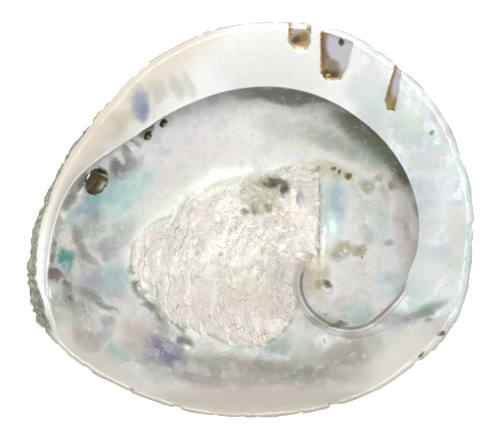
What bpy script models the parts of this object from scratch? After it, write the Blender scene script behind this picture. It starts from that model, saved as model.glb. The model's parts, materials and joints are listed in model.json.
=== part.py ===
"""Abalone shell, lying on its back with its opening up.

One grown piece: a thin domed wall, wound in a low, fast-widening spiral, whose
columellar margin is turned inwards as a broad flat shelf. The shelf runs round the
left, top and right of the opening, then hooks down into the spire. A row of
breathing holes follows the keel; the youngest ones are open.

The skin is a sphere pushed into shape about the spiral's axis. Each meridian
follows one cross-section of the wall: from the middle of the spire's floor out
along the inside, round the free edge of the shelf, over the rim, and back along
the outside to the apex. Shapes are worked out in millimetres with the rim plane at
z = 0 and the dome below it, then tipped to the resting attitude and written in
metres. +X is the shell's length, towards the spire. +Z is up, out of the opening.
"""

import math

import bmesh
import bpy
import numpy as np
from mathutils import Euler, Matrix, Vector

MM = 0.001

# --- driving dimensions, millimetres and degrees ---------------------------------
OUTER_DEPTH = 43.5  # rim plane to the crown of the dome
FLOOR_WALL = 3.4  # wall at the crown
LIP_WALL = 2.0  # wall at the sharp outer lip
MARGIN_WALL = 3.6  # wall at the thick columellar margin
LIP_DROP = 0.7  # how far the outside starts below the crest of the lip
MARGIN_DROP = 2.4
LIP_STEEPNESS = 2.15  # exponent of the dome's profile on the lip side
MARGIN_STEEPNESS = 3.5  # the same on the columellar side, which is steeper
MARGIN_DIRECTION = 62.0  # where the wall is steepest, seen from the middle
# Turns along the left side, and how far the crusted outside swells past the rim there.
CRUST_TURNS = (125, 140, 150, 157, 167, 176, 180, 184, 187, 190, 194)
CRUST_BULGE = (0.0, 0.3, 0.8, 1.0, 1.8, 2.4, 3.2, 4.4, 3.6, 0.8, 0.0)
APEX = (35.4, -24.6)  # axis of the spiral
LAST_TURN_START = 315.0  # where the outer lip joins the older whorl
LAST_TURN_END = 540.0  # where the shelf ends and the outer lip begins
SPIRE_STEP = 2.6  # how far each older whorl stands out of the next one
SPIRE_REACH = 42.0  # the older whorls lie within this distance of the apex
KEEL_PLACE = 0.93  # share of a whorl's width at which the row of holes runs
KEEL_HEIGHT = 1.6
SUTURE_DEPTH = 1.1
CAVITY = (52.0, -6.0)  # middle of the hollow under the shelf, towards the spire
CAVITY_REACH = 24.0
CAVITY_DEPTH = 3.2
SCAR_CENTRE = (-9.0, -15.0)
SCAR_REACH = (35.0, 33.0)
SCAR_HEIGHT = 1.7
SCAR_EDGE_X = 26.0  # the scar's straight edge above the spire cavity
# The open breathing holes: turn, share of the whorl's width, radius.
HOLES = [(517.0, 0.947, 4.6), (502.6, 0.920, 1.5), (498.2, 0.910, 1.4)]
HOLE_FLARE = 0.15  # how much wider a hole is at its inner mouth, and tighter outside
TIP_X = -1.4  # resting attitude, degrees about X and Y
TIP_Y = -0.8
WEAR = 0.45  # depth of the patch rubbed flat where the shell rests

# --- mesh resolution --------------------------------------------------------------
MERIDIANS = 90
INNER_STATIONS = 39  # points along each meridian, from the inner pole to the rim
OUTER_STATIONS = 22  # and from there to the outer pole
SNAP_SPAN = 5.0  # stations over which a meridian gives way to meet the shelf's edge
CROWDING = 0.6  # how strongly meridians crowd towards the long side of the spiral

# The rim seen from above, anticlockwise from the right.
RIM = [
    (83.2, -5.0), (82.4, 10.0), (78.0, 25.5), (71.5, 40.0), (62.0, 52.0), (50.0, 62.0),
    (36.0, 70.4), (20.0, 74.0), (0.0, 74.2), (-16.0, 71.0), (-30.0, 64.6), (-42.5, 56.5),
    (-53.5, 44.5), (-63.4, 32.8), (-71.8, 19.5), (-77.8, 6.0), (-81.6, -8.0),
    (-83.2, -23.0), (-79.5, -37.0), (-70.5, -48.5), (-58.0, -57.3), (-43.5, -64.6),
    (-26.0, -71.0), (-8.0, -73.5), (12.0, -73.2), (32.0, -69.4), (48.0, -63.0),
    (60.5, -54.5), (72.0, -44.5), (80.0, -29.5),
]  # fmt: skip

# The shelf along the spiral: turn, radius and height of its free edge, radius and
# height of the line it grows out of, depth of the hollow under it, fall beyond it.
# Where the root radius lies past the rim, the shelf grows out of the rim itself.
SHELF = [
    (150, 17.2, -33.5, 19.4, -34.4, 0.0, 9.0), (168, 17.2, -31.6, 19.8, -32.4, 0.6, 10.0),
    (186, 16.9, -28.6, 19.6, -29.6, 1.0, 11.0), (210, 16.0, -24.4, 18.9, -25.6, 1.2, 12.0),
    (233, 15.4, -20.4, 18.6, -21.8, 1.5, 13.0), (255, 15.6, -17.0, 19.0, -18.6, 1.8, 14.0),
    (277, 16.1, -14.2, 20.0, -15.9, 2.2, 14.0), (300, 16.8, -11.8, 21.4, -13.6, 3.0, 13.0),
    (318, 17.2, -10.3, 23.4, -12.0, 4.6, 11.0), (329, 17.8, -9.6, 26.0, -10.6, 6.5, 9.0),
    (336, 18.6, -9.4, 30.2, -8.2, 7.5, 7.0), (343, 19.6, -9.2, 35.8, -4.6, 9.0, 6.0),
    (349, 20.6, -9.1, 41.5, -1.2, 11.0, 5.0), (355, 21.9, -9.0, 48.0, -0.3, 13.0, 5.0),
    (364, 23.2, -9.0, 60.0, -0.3, 15.0, 5.0), (373, 24.9, -9.0, 130, -0.3, 16.0, 5.0),
    (396, 34.7, -9.0, 130, -0.3, 16.0, 5.0), (413.6, 44.0, -9.0, 130, -0.3, 17.0, 5.0),
    (429.7, 53.7, -9.0, 130, -0.3, 18.0, 5.0), (445, 63.7, -9.0, 130, -0.3, 18.0, 5.0),
    (457.4, 72.6, -8.8, 130, -0.3, 17.5, 5.0), (467.8, 79.5, -8.5, 130, -0.3, 16.0, 5.0),
    (479.9, 86.0, -8.0, 130, -0.3, 14.5, 5.0), (489.7, 90.6, -7.6, 130, -0.3, 12.0, 5.0),
    (496, 93.6, -7.3, 130, -0.3, 9.5, 5.0), (503, 96.8, -6.8, 130, -0.3, 6.5, 5.0),
    (509, 101.0, -6.2, 130, -0.3, 4.0, 5.0), (513, 104.8, -5.4, 130, -0.3, 2.2, 5.0),
    (516, 108.0, -4.6, 130, -0.3, 1.0, 5.0), (520, 110.4, -3.8, 130, -0.3, 0.4, 5.0),
    (526, 111.8, -3.2, 130, -0.3, 0.2, 5.0), (535, 112.2, -2.8, 130, -0.3, 0.0, 5.0),
    (542, 112.2, -2.4, 130, -0.3, 0.0, 5.0), (549, 110.0, -2.0, 130, -0.3, 0.0, 5.0),
]  # fmt: skip
SHELF_BLEND = 4.0  # turn over which the shelf's figures are evened out
SHELF_FADE = (18.0, 10.0)  # turn over which the shelf emerges at its old and young ends
LEAST_GAP = 1.0  # clear height at the back of the hollow under the shelf
EDGE_WALL = 1.7  # thickness of the shelf at its free edge
WALL_GAIN = 0.13  # thickness gained per millimetre away from the edge
SHELF_CROWN = 0.8  # rise of the shelf's face between its two edges


# --- curves -----------------------------------------------------------------------
def smooth_curve(points, steps, closed):
    """Points along a Catmull-Rom curve through the given ones, evenly spread in span."""
    p = np.array(points, float)
    count = len(p)
    spans = count if closed else count - 1
    at = np.linspace(0, spans, steps, endpoint=not closed)
    span = np.minimum(at.astype(int), spans - 1)
    t = (at - span)[:, None]

    def pick(offset):
        index = span + offset
        return p[index % count] if closed else p[np.clip(index, 0, count - 1)]

    before, start, end, after = pick(-1), pick(0), pick(1), pick(2)
    return 0.5 * (
        2 * start
        + (end - before) * t
        + (2 * before - 5 * start + 4 * end - after) * t**2
        + (3 * start - before - 3 * end + after) * t**3
    )


def smoothstep(low, high, value):
    t = np.clip((value - low) / (high - low), 0, 1)
    return t * t * (3 - 2 * t)


def radius_table(centre):
    """The rim's radius about a point, as sorted (angles in degrees, radii)."""
    rim = smooth_curve(RIM, 720, closed=True) - np.array(centre)
    angle = np.degrees(np.arctan2(rim[:, 1], rim[:, 0])) % 360
    order = np.argsort(angle)
    return angle[order], np.hypot(rim[:, 0], rim[:, 1])[order]


RIM_FROM_MIDDLE = radius_table((0, 0))
RIM_FROM_APEX = radius_table(APEX)


def about_middle(x, y):
    """(angle in degrees, radius, the rim's radius at that angle), seen from the middle."""
    angle = np.degrees(np.arctan2(y, x))
    return angle, np.hypot(x, y), np.interp(angle % 360, *RIM_FROM_MIDDLE, period=360)


# --- the spiral -------------------------------------------------------------------
LIP_START_RADIUS = np.interp(LAST_TURN_START, *RIM_FROM_APEX, period=360)
LIP_END_RADIUS = np.interp(LAST_TURN_END % 360, *RIM_FROM_APEX, period=360)
# The growth that carries the whorl, past the lip's end, onto its own start a turn on.
WHORL_GROWTH = math.log(LIP_END_RADIUS / LIP_START_RADIUS) / math.radians(
    LAST_TURN_END - LAST_TURN_START
)
WHORL_RATIO = math.exp(WHORL_GROWTH * 2 * math.pi)


def whorl_radius(turn):
    """Distance from the apex to the whorl's margin at any angle of turn."""
    turns_back = np.maximum(0, np.ceil((LAST_TURN_START - turn) / 360))
    last = turn + 360 * turns_back
    margin = np.interp(last % 360, *RIM_FROM_APEX, period=360)
    grown_on = LIP_END_RADIUS * np.exp(WHORL_GROWTH * np.radians(last - LAST_TURN_END))
    return np.where(last <= LAST_TURN_END, margin, grown_on) / WHORL_RATIO**turns_back


def whorl_place(x, y):
    """(turn, share of the whorl's width from its suture out, whether a newer one adjoins)."""
    dx, dy = x - APEX[0], y - APEX[1]
    radius = np.maximum(np.hypot(dx, dy), 0.8)
    turn = np.degrees(np.arctan2(dy, dx)) % 360
    turn = np.where(turn < LAST_TURN_START, turn + 360, turn)
    adjoined = np.zeros(np.shape(turn), bool)
    for _ in range(3):
        older = radius < whorl_radius(turn - 360)
        turn = np.where(older, turn - 360, turn)
        adjoined |= older
    inner, outer = whorl_radius(turn - 360), whorl_radius(turn)
    return turn, np.clip(np.log(radius / inner) / np.log(outer / inner), 0, 1), adjoined


def spire_rise(age):
    """How far a whorl stands out, by its age in turns since the youngest growth."""
    rise = smoothstep(1.0, 1.7, age)
    rise = rise + 0.55 * smoothstep(2.0, 2.7, age) + 0.3 * smoothstep(3.0, 3.7, age)
    return SPIRE_STEP * rise


def spiral_relief(x, y):
    """How far the outside stands out from the plain dome: whorl steps, keel, suture."""
    turn, share, adjoined = whorl_place(x, y)
    age = (LAST_TURN_START + 360 - turn) / 360
    step_down = (spire_rise(age) - spire_rise(age - 1)) * smoothstep(0.72, 1.0, share)
    keel = KEEL_HEIGHT * np.exp(-(((share - KEEL_PLACE) / 0.04) ** 2) - np.maximum(age - 0.9, 0))
    groove = smoothstep(0.0, 0.35, age) * np.exp(-((share / 0.08) ** 2))
    beyond = smoothstep(0.0, 0.35, age - 1) * np.exp(-(((1 - share) / 0.08) ** 2))
    groove = groove + np.where(adjoined, beyond, 0)
    relief = spire_rise(age) - np.where(adjoined, step_down, 0) + keel - SUTURE_DEPTH * groove
    near_apex = 1 - smoothstep(1.5, 5.0, np.hypot(x - APEX[0], y - APEX[1]))
    return relief + (SPIRE_STEP * 1.8 - relief) * near_apex


# --- heights of the two faces of the wall -------------------------------------------
def margin_share(angle):
    """1 on the columellar side of the rim, 0 on the outer lip."""
    return np.clip(np.cos(np.radians((angle - MARGIN_DIRECTION + 180) % 360 - 180) * 0.74), 0, 1)


def steepness(angle):
    return LIP_STEEPNESS + (MARGIN_STEEPNESS - LIP_STEEPNESS) * margin_share(angle)


def outer_height(x, y):
    angle, radius, rim = about_middle(x, y)
    share = np.minimum(radius / rim, 1.0)
    dome = OUTER_DEPTH * (1 - share ** steepness(angle))
    return -dome - spiral_relief(x, y) * smoothstep(0.0, 0.12, 1 - share)


def muscle_scar(x, y):
    """The low rough callus in the middle of the floor."""
    away = np.hypot((x - SCAR_CENTRE[0]) / SCAR_REACH[0], (y - SCAR_CENTRE[1]) / SCAR_REACH[1])
    edge = 1 - smoothstep(SCAR_EDGE_X - 2.0, SCAR_EDGE_X + 2.0, x)
    return SCAR_HEIGHT * (1 - smoothstep(0.76, 1.16, away)) * edge


def floor_height(x, y, wall):
    """The inside of the bowl, without the shelf."""
    angle, radius, rim = about_middle(x, y)
    share = np.minimum(radius / (rim - wall), 1.0)
    bowl = (OUTER_DEPTH - FLOOR_WALL) * (1 - share ** steepness(angle))
    from_cavity = np.hypot(x - CAVITY[0], y - CAVITY[1]) / CAVITY_REACH
    cavity = CAVITY_DEPTH * np.exp(-(from_cavity**2)) * smoothstep(1.0, 0.8, share)
    return muscle_scar(x, y) - bowl - cavity


# --- cross-sections -----------------------------------------------------------------
def shelf_at(turn):
    """Edge radius and height, root radius and height, hollow and fall at that turn."""
    near = turn + np.linspace(-1, 1, 9) * SHELF_BLEND
    table = np.array(SHELF, float)
    return [np.interp(near, table[:, 0], table[:, k]).mean() for k in range(1, 7)]


def shelf_strength(turn):
    """0 where the shelf dies out at its two ends, 1 between them."""
    first, last = SHELF[0][0], SHELF[-1][0]
    old = smoothstep(first, first + SHELF_FADE[0], turn)
    return float(old * (1 - smoothstep(last - SHELF_FADE[1], last, turn)))


def section(turn):
    """The wall's outline on one side of the apex, in two runs that meet at the rim.

    The first runs out along the inside, the second back along the outside. Each is
    rows of (radius about the apex, height, spacing wanted there), with the numbers of
    the rows that a point must meet: the shelf's free edges inside, the sutures outside.
    """
    along = (math.cos(math.radians(turn)), math.sin(math.radians(turn)))
    silhouette = float(np.interp(turn, *RIM_FROM_APEX, period=360))
    bulge = float(np.interp(turn % 360, CRUST_TURNS, CRUST_BULGE, left=0, right=0))
    rim = silhouette - bulge
    middle_angle = math.degrees(math.atan2(APEX[1] + rim * along[1], APEX[0] + rim * along[0]))
    columellar = float(smoothstep(0.0, 0.5, margin_share(middle_angle)))
    wall = LIP_WALL + (MARGIN_WALL - LIP_WALL) * columellar
    drop = LIP_DROP + (MARGIN_DROP - LIP_DROP) * columellar
    opening = rim - wall
    rows = []
    edges = []
    carried = [(0.0, 0.0, 1.0)]  # height carried over from a fold: amount, radius, width

    def floor(radius):
        amount, start, width = carried[-1]
        fade = 1 - smoothstep(0, 1, (np.asarray(radius, float) - start) / width)
        radius = radius + bulge * smoothstep(0.7, 1.0, radius / opening)
        x, y = APEX[0] + radius * along[0], APEX[1] + radius * along[1]
        return floor_height(x, y, wall) + amount * fade

    def add(radius, height, spacing):
        radius, height = np.broadcast_arrays(radius, height)
        rows.append(np.column_stack([radius, height, np.broadcast_to(spacing, radius.shape)]))

    start = 0.0
    for fold_turn in (turn, turn + 360):
        if not SHELF[0][0] <= fold_turn <= SHELF[-1][0]:
            continue
        strength = shelf_strength(fold_turn)
        edge, edge_z, root, root_z, hollow, fall = shelf_at(fold_turn)
        root = min(root, opening)
        edge = min(edge, root - 0.4)
        edge_z = floor(edge) + strength * (edge_z - floor(edge))
        root_z = floor(root) + strength * (root_z - floor(root))
        hollow = strength * min(hollow, root - edge - 2.0)
        hollow = max(hollow, 0.0)

        def top(radius):
            t = (radius - edge) / (root - edge)
            return edge_z + (root_z - edge_z) * t + strength * SHELF_CROWN * 4 * t * (1 - t)

        def underside(radius):
            return top(radius) - strength * (EDGE_WALL + WALL_GAIN * (radius - edge))

        radius = np.linspace(edge, edge + hollow, 60)
        crowded = underside(radius) - floor(radius) < LEAST_GAP
        reach = radius[crowded.argmax()] if crowded.any() else edge + hollow
        radius = np.linspace(start, reach, 90)
        rise_width = min(9.0, 0.6 * (reach - start))
        rise = np.clip((radius - reach + rise_width) / rise_width, 0, 1)
        rise = strength * (1 - np.sqrt(1 - 0.999 * rise**2)) + (1 - strength) * rise**2
        height = floor(radius) + rise * (underside(reach) - floor(reach))
        add(radius, height, 6.0)
        radius = np.linspace(reach, edge, 16)[1:]
        add(radius, underside(radius), 3.2)
        half = strength * EDGE_WALL / 2
        around = np.radians(np.linspace(-90, -270, 9))[1:]
        edges.append(sum(len(run) for run in rows) + len(around) // 2 - 1)
        add(edge + half * np.cos(around), edge_z - half + half * np.sin(around), 0.85)
        radius = np.linspace(edge, root, 20)[1:]
        add(radius, top(radius), 4.0)
        carried.append((root_z - floor(root), root, fall))
        start = root
    if opening - start > 0.05:
        radius = np.linspace(start, opening, 90)[1:]
        add(radius, floor(radius), 5.0)
    crest_from = rows[-1][-1, 1]
    around = np.linspace(0, 1, 8)[1:]
    crest_radius = opening + wall * (1 - np.cos(np.pi * around)) / 2
    crest_height = crest_from * (1 - around) - drop * around
    crest_height = crest_height + (0.35 + 0.3 * drop) * np.sin(np.pi * around)
    add(crest_radius, crest_height, 1.6)
    inner_rows = np.vstack(rows)
    rows.clear()
    share = np.linspace(1, 0, 160)
    radius = rim * share
    widest = 1 - 0.01 * bulge
    swell = (silhouette - rim * widest) * np.where(
        share < widest,
        np.exp(-(((share - widest) / 0.05) ** 2)),
        1 - (np.maximum(share - widest, 0) / (1.0001 - widest)) ** 2,
    )
    x, y = APEX[0] + radius * along[0], APEX[1] + radius * along[1]
    height = outer_height(x, y) - drop * smoothstep(0.75, 1, share)
    spacing = np.where(radius > SPIRE_REACH, 7.0, 3.4)
    add(radius + swell, height, np.where(share > 0.88, 3.0, spacing))
    sutures = [float(whorl_radius(turn % 360 - 360 * k)) for k in (0, 1)]
    marks = [int(np.abs(radius - r).argmin()) for r in sutures if 4 < r < rim - 6]
    return (inner_rows, edges), (np.vstack(rows), marks)


def spread(rows, count, keep):
    """That many (radius, height) points along a run, with one on each row to be kept."""
    step = np.hypot(np.diff(rows[:, 0]), np.diff(rows[:, 1])) / rows[1:, 2]
    at = np.concatenate([[0], np.cumsum(step)])
    unit = at[-1] / (count - 1)
    index = np.arange(count, dtype=float)
    shift = np.zeros(count)
    for row in keep:
        place = at[row] / unit
        nearness = np.clip(1 - np.abs(index - round(place)) / SNAP_SPAN, 0, 1)
        shift += (place - round(place)) * nearness
    wanted = np.clip(index + shift, 0, count - 1) * unit
    return np.column_stack([np.interp(wanted, at, rows[:, k]) for k in (0, 1)])


def meridian(turn):
    """The (radius, height) points of one meridian, pole to pole."""
    inside, outside = section(turn)
    inner = spread(inside[0], INNER_STATIONS, inside[1])
    outer = spread(outside[0], OUTER_STATIONS + 1, outside[1])
    return np.vstack([inner, outer[1:]])


# --- solids -----------------------------------------------------------------------
def meridian_turns(count):
    """Turn angles of the meridians, closer together where the rim is far away."""
    angle = np.linspace(0, 360, 721)
    weight = np.interp(angle, *RIM_FROM_APEX, period=360) ** CROWDING
    total = np.concatenate([[0], np.cumsum((weight[1:] + weight[:-1]) / 2)])
    return np.interp(np.arange(count) / count, total / total[-1], angle)


def shell_skin():
    """A sphere whose meridians are laid along the wall's cross-sections."""
    bm = bmesh.new()
    spans = INNER_STATIONS + OUTER_STATIONS - 1
    bmesh.ops.create_uvsphere(bm, u_segments=MERIDIANS, v_segments=spans, radius=1)
    turns = meridian_turns(MERIDIANS)
    lines = [meridian(turn) for turn in turns]
    for vert in bm.verts:
        around = round(math.atan2(vert.co.y, vert.co.x) / (2 * math.pi) * MERIDIANS) % MERIDIANS
        down = round(math.acos(max(-1, min(1, vert.co.z))) / math.pi * spans)
        radius, height = lines[around][down]
        a = math.radians(turns[around])
        x, y = APEX[0] + radius * math.cos(a), APEX[1] + radius * math.sin(a)
        vert.co = Vector((x, y, height)) * MM
    mesh = bpy.data.meshes.new("shell")
    bm.to_mesh(mesh)
    bm.free()
    shell = bpy.data.objects.new("shell", mesh)
    bpy.context.scene.collection.objects.link(shell)
    return shell


def outside_point(turn, share):
    """A point on the outside, by its place in the whorl, and the outward normal there."""
    outer, inner = float(whorl_radius(turn)), float(whorl_radius(turn - 360))
    radius = inner * (outer / inner) ** share
    a = math.radians(turn)
    x, y = APEX[0] + radius * math.cos(a), APEX[1] + radius * math.sin(a)

    def height(px, py):
        return float(outer_height(np.array([px]), np.array([py]))[0])

    step = 2.0
    slope_x = (height(x + step, y) - height(x - step, y)) / (2 * step)
    slope_y = (height(x, y + step) - height(x, y - step)) / (2 * step)
    return Vector((x, y, height(x, y))), Vector((slope_x, slope_y, -1)).normalized()


def hole_cutter(turn, share, radius):
    """A short tapered bar through the wall, at right angles to it."""
    place, normal = outside_point(turn, share)
    stand = Matrix.Translation(place * MM) @ normal.to_track_quat("Z", "Y").to_matrix().to_4x4()
    bm = bmesh.new()
    bmesh.ops.create_cone(
        bm, cap_ends=True, segments=16, radius1=radius * (1 + HOLE_FLARE) * MM,
        radius2=radius * (1 - HOLE_FLARE) * MM, depth=12 * MM, matrix=stand,
    )  # fmt: skip
    mesh = bpy.data.meshes.new(f"hole_cutter_{turn:.0f}")
    bm.to_mesh(mesh)
    bm.free()
    cutter = bpy.data.objects.new(mesh.name, mesh)
    bpy.context.scene.collection.objects.link(cutter)
    cutter.hide_render = True
    cutter.display_type = "WIRE"
    return cutter


def settled_mesh(obj):
    """The finished mesh, tipped to its resting attitude, rubbed flat below and centred."""
    graph = bpy.context.evaluated_depsgraph_get()
    mesh = bpy.data.meshes.new_from_object(obj.evaluated_get(graph))
    mesh.transform(Euler((math.radians(TIP_X), math.radians(TIP_Y), 0)).to_matrix().to_4x4())
    co = np.array([v.co for v in mesh.vertices])
    lowest = co[:, 2].min() + WEAR * MM
    co[:, 2] = np.maximum(co[:, 2], lowest)
    centre = (co.min(axis=0) + co.max(axis=0)) / 2
    co -= (centre[0], centre[1], lowest)
    mesh.vertices.foreach_set("co", co.astype(np.float32).ravel())
    mesh.update()
    return mesh


def shell_material():
    material = bpy.data.materials.new("nacre")
    material.use_nodes = True
    shader = material.node_tree.nodes["Principled BSDF"]
    shader.inputs["Base Color"].default_value = (0.80, 0.78, 0.72, 1)
    shader.inputs["Roughness"].default_value = 0.3
    shader.inputs["Metallic"].default_value = 0.0
    return material


def main():
    for obj in list(bpy.data.objects):
        bpy.data.objects.remove(obj, do_unlink=True)
    shell = shell_skin()
    cutters = [hole_cutter(*hole) for hole in HOLES]
    for cutter in cutters:
        modifier = shell.modifiers.new(cutter.name, "BOOLEAN")
        modifier.operation = "DIFFERENCE"
        modifier.object = cutter
    bpy.context.view_layer.update()
    finished = settled_mesh(shell)
    shell.modifiers.clear()
    shell.data = finished
    for cutter in cutters:
        bpy.data.objects.remove(cutter, do_unlink=True)
    shell.data.materials.clear()
    shell.data.materials.append(shell_material())
    shell.data.shade_smooth()
    shell.data.set_sharp_from_angle(angle=math.radians(60))


main()
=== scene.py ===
"""Abalone shell lying on its back: the fine surface and the pearly finish.

The shell is one grown piece. Its skin is a sphere whose meridians are laid along the
wall's cross-sections about the spiral's apex, then carved with the relief a real shell
has: the muscle scar, the sealed and open breathing holes, windows worn through the
shelf, growth ridges and cords outside, and the crust along the left.
Shapes are worked out in millimetres with the rim plane at z = 0 and written in metres.
"""

import json
import math

import bmesh
import bpy
import numpy as np
from bpy.props import FloatProperty, FloatVectorProperty, IntProperty, PointerProperty
from bpy.types import Operator, Panel, PropertyGroup
from mathutils import Euler, Matrix, Vector, noise
from mathutils.kdtree import KDTree

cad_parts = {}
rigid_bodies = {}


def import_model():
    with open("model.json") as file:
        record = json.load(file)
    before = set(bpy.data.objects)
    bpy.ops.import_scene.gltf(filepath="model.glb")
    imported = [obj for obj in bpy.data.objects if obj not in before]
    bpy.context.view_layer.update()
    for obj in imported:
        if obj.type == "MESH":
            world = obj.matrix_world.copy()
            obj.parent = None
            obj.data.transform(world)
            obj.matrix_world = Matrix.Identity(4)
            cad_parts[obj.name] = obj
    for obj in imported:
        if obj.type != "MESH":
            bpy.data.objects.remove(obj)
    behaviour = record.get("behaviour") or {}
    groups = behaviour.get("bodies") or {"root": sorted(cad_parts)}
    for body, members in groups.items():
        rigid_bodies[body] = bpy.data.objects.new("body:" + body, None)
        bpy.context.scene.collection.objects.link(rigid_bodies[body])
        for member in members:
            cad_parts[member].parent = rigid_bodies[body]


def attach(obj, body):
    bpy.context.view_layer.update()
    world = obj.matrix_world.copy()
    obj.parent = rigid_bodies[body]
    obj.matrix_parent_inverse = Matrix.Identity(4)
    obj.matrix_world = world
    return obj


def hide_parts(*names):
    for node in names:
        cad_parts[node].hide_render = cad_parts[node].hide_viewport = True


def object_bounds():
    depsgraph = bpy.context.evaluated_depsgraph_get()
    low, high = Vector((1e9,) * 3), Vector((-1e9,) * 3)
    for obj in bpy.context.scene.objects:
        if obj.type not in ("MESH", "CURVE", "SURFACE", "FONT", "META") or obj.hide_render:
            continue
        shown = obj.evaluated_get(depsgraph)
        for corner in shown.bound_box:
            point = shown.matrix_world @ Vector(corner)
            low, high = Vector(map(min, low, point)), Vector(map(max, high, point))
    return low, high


bl_info = {
    "name": "Abalone shell",
    "version": (1, 0, 0),
    "blender": (4, 5, 0),
    "location": "View3D > Sidebar > Shell",
    "description": "Grows an abalone shell with its scar, shelf, holes and pearly finish",
    "category": "Object",
}

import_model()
CAD_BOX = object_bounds()
MM = 0.001

# --- the shell's own shape, millimetres and degrees -----------------------------------
OUTER_DEPTH = 43.5  # rim plane to the crown of the dome
FLOOR_WALL = 3.4
LIP_WALL, MARGIN_WALL = 2.0, 3.6  # wall at the sharp outer lip, and at the shelf's margin
LIP_DROP, MARGIN_DROP = 0.7, 2.4  # how far the outside starts below the crest
LIP_STEEPNESS, MARGIN_STEEPNESS = 2.15, 3.5
MARGIN_DIRECTION = 62.0
CRUST_TURNS = (125, 140, 150, 157, 167, 176, 180, 184, 187, 190, 194)
CRUST_BULGE = (0.0, 0.3, 0.8, 1.0, 1.8, 2.4, 3.2, 4.4, 3.6, 0.8, 0.0)
APEX = (35.4, -24.6)
LAST_TURN_START, LAST_TURN_END = 315.0, 540.0
SPIRE_STEP = 2.6
KEEL_PLACE, KEEL_HEIGHT = 0.93, 1.6
SUTURE_DEPTH = 1.1
CAVITY, CAVITY_REACH, CAVITY_DEPTH = (52.0, -6.0), 24.0, 3.2
SCAR_CENTRE, SCAR_REACH, SCAR_HEIGHT, SCAR_EDGE_X = (-9.0, -15.0), (35.0, 33.0), 1.7, 26.0
# The scar's chalky face: x, y, half length, half width and tilt of the ovals it covers.
SCAR_OVALS = [
    (-6, -13, 35, 29, 38), (-2, -28, 20, 20, 0), (14, 2, 22, 19, 30), (-25, -11, 22, 15, 12),
]  # fmt: skip
# Open breathing holes: turn, share of the whorl's width, radius.
HOLES = [(517.0, 0.947, 4.6), (502.6, 0.920, 1.5), (498.2, 0.910, 1.4)]
HOLE_FLARE = 0.15
HOLE_LEAN = 1.4  # how much more than the wall's own normal the holes slant out
HOLE_SIDES = 28
OLD_HOLE_TURN, OLD_HOLE_STEP = 517.1, 14.6  # sealed holes: where their row starts, spacing
CORDS = 13  # spiral cords across the whorl
FLOW_CENTRE = (27.4, -26.6)  # the scar's lines are combed round this point
TIP = (-1.4, -0.8)  # resting attitude about X and Y
SNAP_SPAN = 9.0
CROWDING = 0.75
SHELF_BLEND = 4.0
SHELF_FADE = (18.0, 10.0)
WHITE_FROM = (318, 352)  # turns over which the shelf's white sets in
LEAST_GAP = 1.0
EDGE_WALL, WALL_GAIN, SHELF_CROWN = 1.7, 0.13, 0.8

# The rim seen from above, anticlockwise from the right.
RIM = [
    (83.2, -5.0), (82.4, 10.0), (78.0, 25.5), (71.5, 40.0), (62.0, 52.0), (50.0, 62.0),
    (36.0, 70.4), (20.0, 74.0), (0.0, 74.2), (-16.0, 71.0), (-30.0, 64.6), (-42.5, 56.5),
    (-53.5, 44.5), (-63.4, 32.8), (-71.8, 19.5), (-77.8, 6.0), (-81.6, -8.0),
    (-83.2, -23.0), (-79.5, -37.0), (-70.5, -48.5), (-58.0, -57.3), (-43.5, -64.6),
    (-26.0, -71.0), (-8.0, -73.5), (12.0, -73.2), (32.0, -69.4), (48.0, -63.0),
    (60.5, -54.5), (72.0, -44.5), (80.0, -29.5),
]  # fmt: skip

# The shelf along the spiral: turn, radius and height of its free edge, radius and
# height of the line it grows out of, depth of the hollow under it, fall beyond it.
SHELF = [
    (150, 17.2, -33.5, 19.4, -34.4, 0.0, 9.0), (168, 17.2, -31.6, 19.8, -32.4, 0.6, 10.0),
    (186, 16.9, -28.6, 19.6, -29.6, 1.0, 11.0), (210, 16.0, -24.4, 18.9, -25.6, 1.2, 12.0),
    (233, 15.4, -20.4, 18.6, -21.8, 1.5, 13.0), (255, 15.6, -17.0, 19.0, -18.6, 1.8, 14.0),
    (277, 16.1, -14.2, 20.0, -15.9, 2.2, 14.0), (300, 16.8, -11.8, 21.4, -13.6, 3.0, 13.0),
    (318, 17.2, -10.3, 23.4, -12.0, 4.6, 11.0), (329, 17.8, -9.6, 26.0, -10.6, 6.5, 9.0),
    (336, 18.6, -9.4, 30.2, -8.2, 7.5, 7.0), (343, 19.6, -9.2, 35.8, -4.6, 9.0, 6.0),
    (349, 20.6, -9.1, 41.5, -1.2, 11.0, 5.0), (355, 21.9, -9.0, 48.0, -0.3, 13.0, 5.0),
    (364, 23.2, -9.0, 60.0, -0.3, 15.0, 5.0), (373, 24.9, -9.0, 130, -0.3, 16.0, 5.0),
    (396, 34.7, -9.0, 130, -0.3, 16.0, 5.0), (413.6, 44.0, -9.0, 130, -0.3, 17.0, 5.0),
    (429.7, 53.7, -9.0, 130, -0.3, 18.0, 5.0), (445, 63.7, -9.0, 130, -0.3, 18.0, 5.0),
    (457.4, 72.6, -8.8, 130, -0.3, 17.5, 5.0), (467.8, 79.5, -8.5, 130, -0.3, 16.0, 5.0),
    (479.9, 86.0, -8.0, 130, -0.3, 14.5, 5.0), (489.7, 90.6, -7.6, 130, -0.3, 12.0, 5.0),
    (496, 93.6, -7.3, 130, -0.3, 9.5, 5.0), (503, 96.8, -6.8, 130, -0.3, 6.5, 5.0),
    (509, 101.0, -6.2, 130, -0.3, 4.0, 5.0), (513, 104.8, -5.4, 130, -0.3, 2.2, 5.0),
    (516, 108.0, -4.6, 130, -0.3, 1.0, 5.0), (520, 110.4, -3.8, 130, -0.3, 0.4, 5.0),
    (526, 111.8, -3.2, 130, -0.3, 0.2, 5.0), (535, 112.2, -2.8, 130, -0.3, 0.0, 5.0),
    (542, 112.2, -2.4, 130, -0.3, 0.0, 5.0), (549, 110.0, -2.0, 130, -0.3, 0.0, 5.0),
]  # fmt: skip

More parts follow.
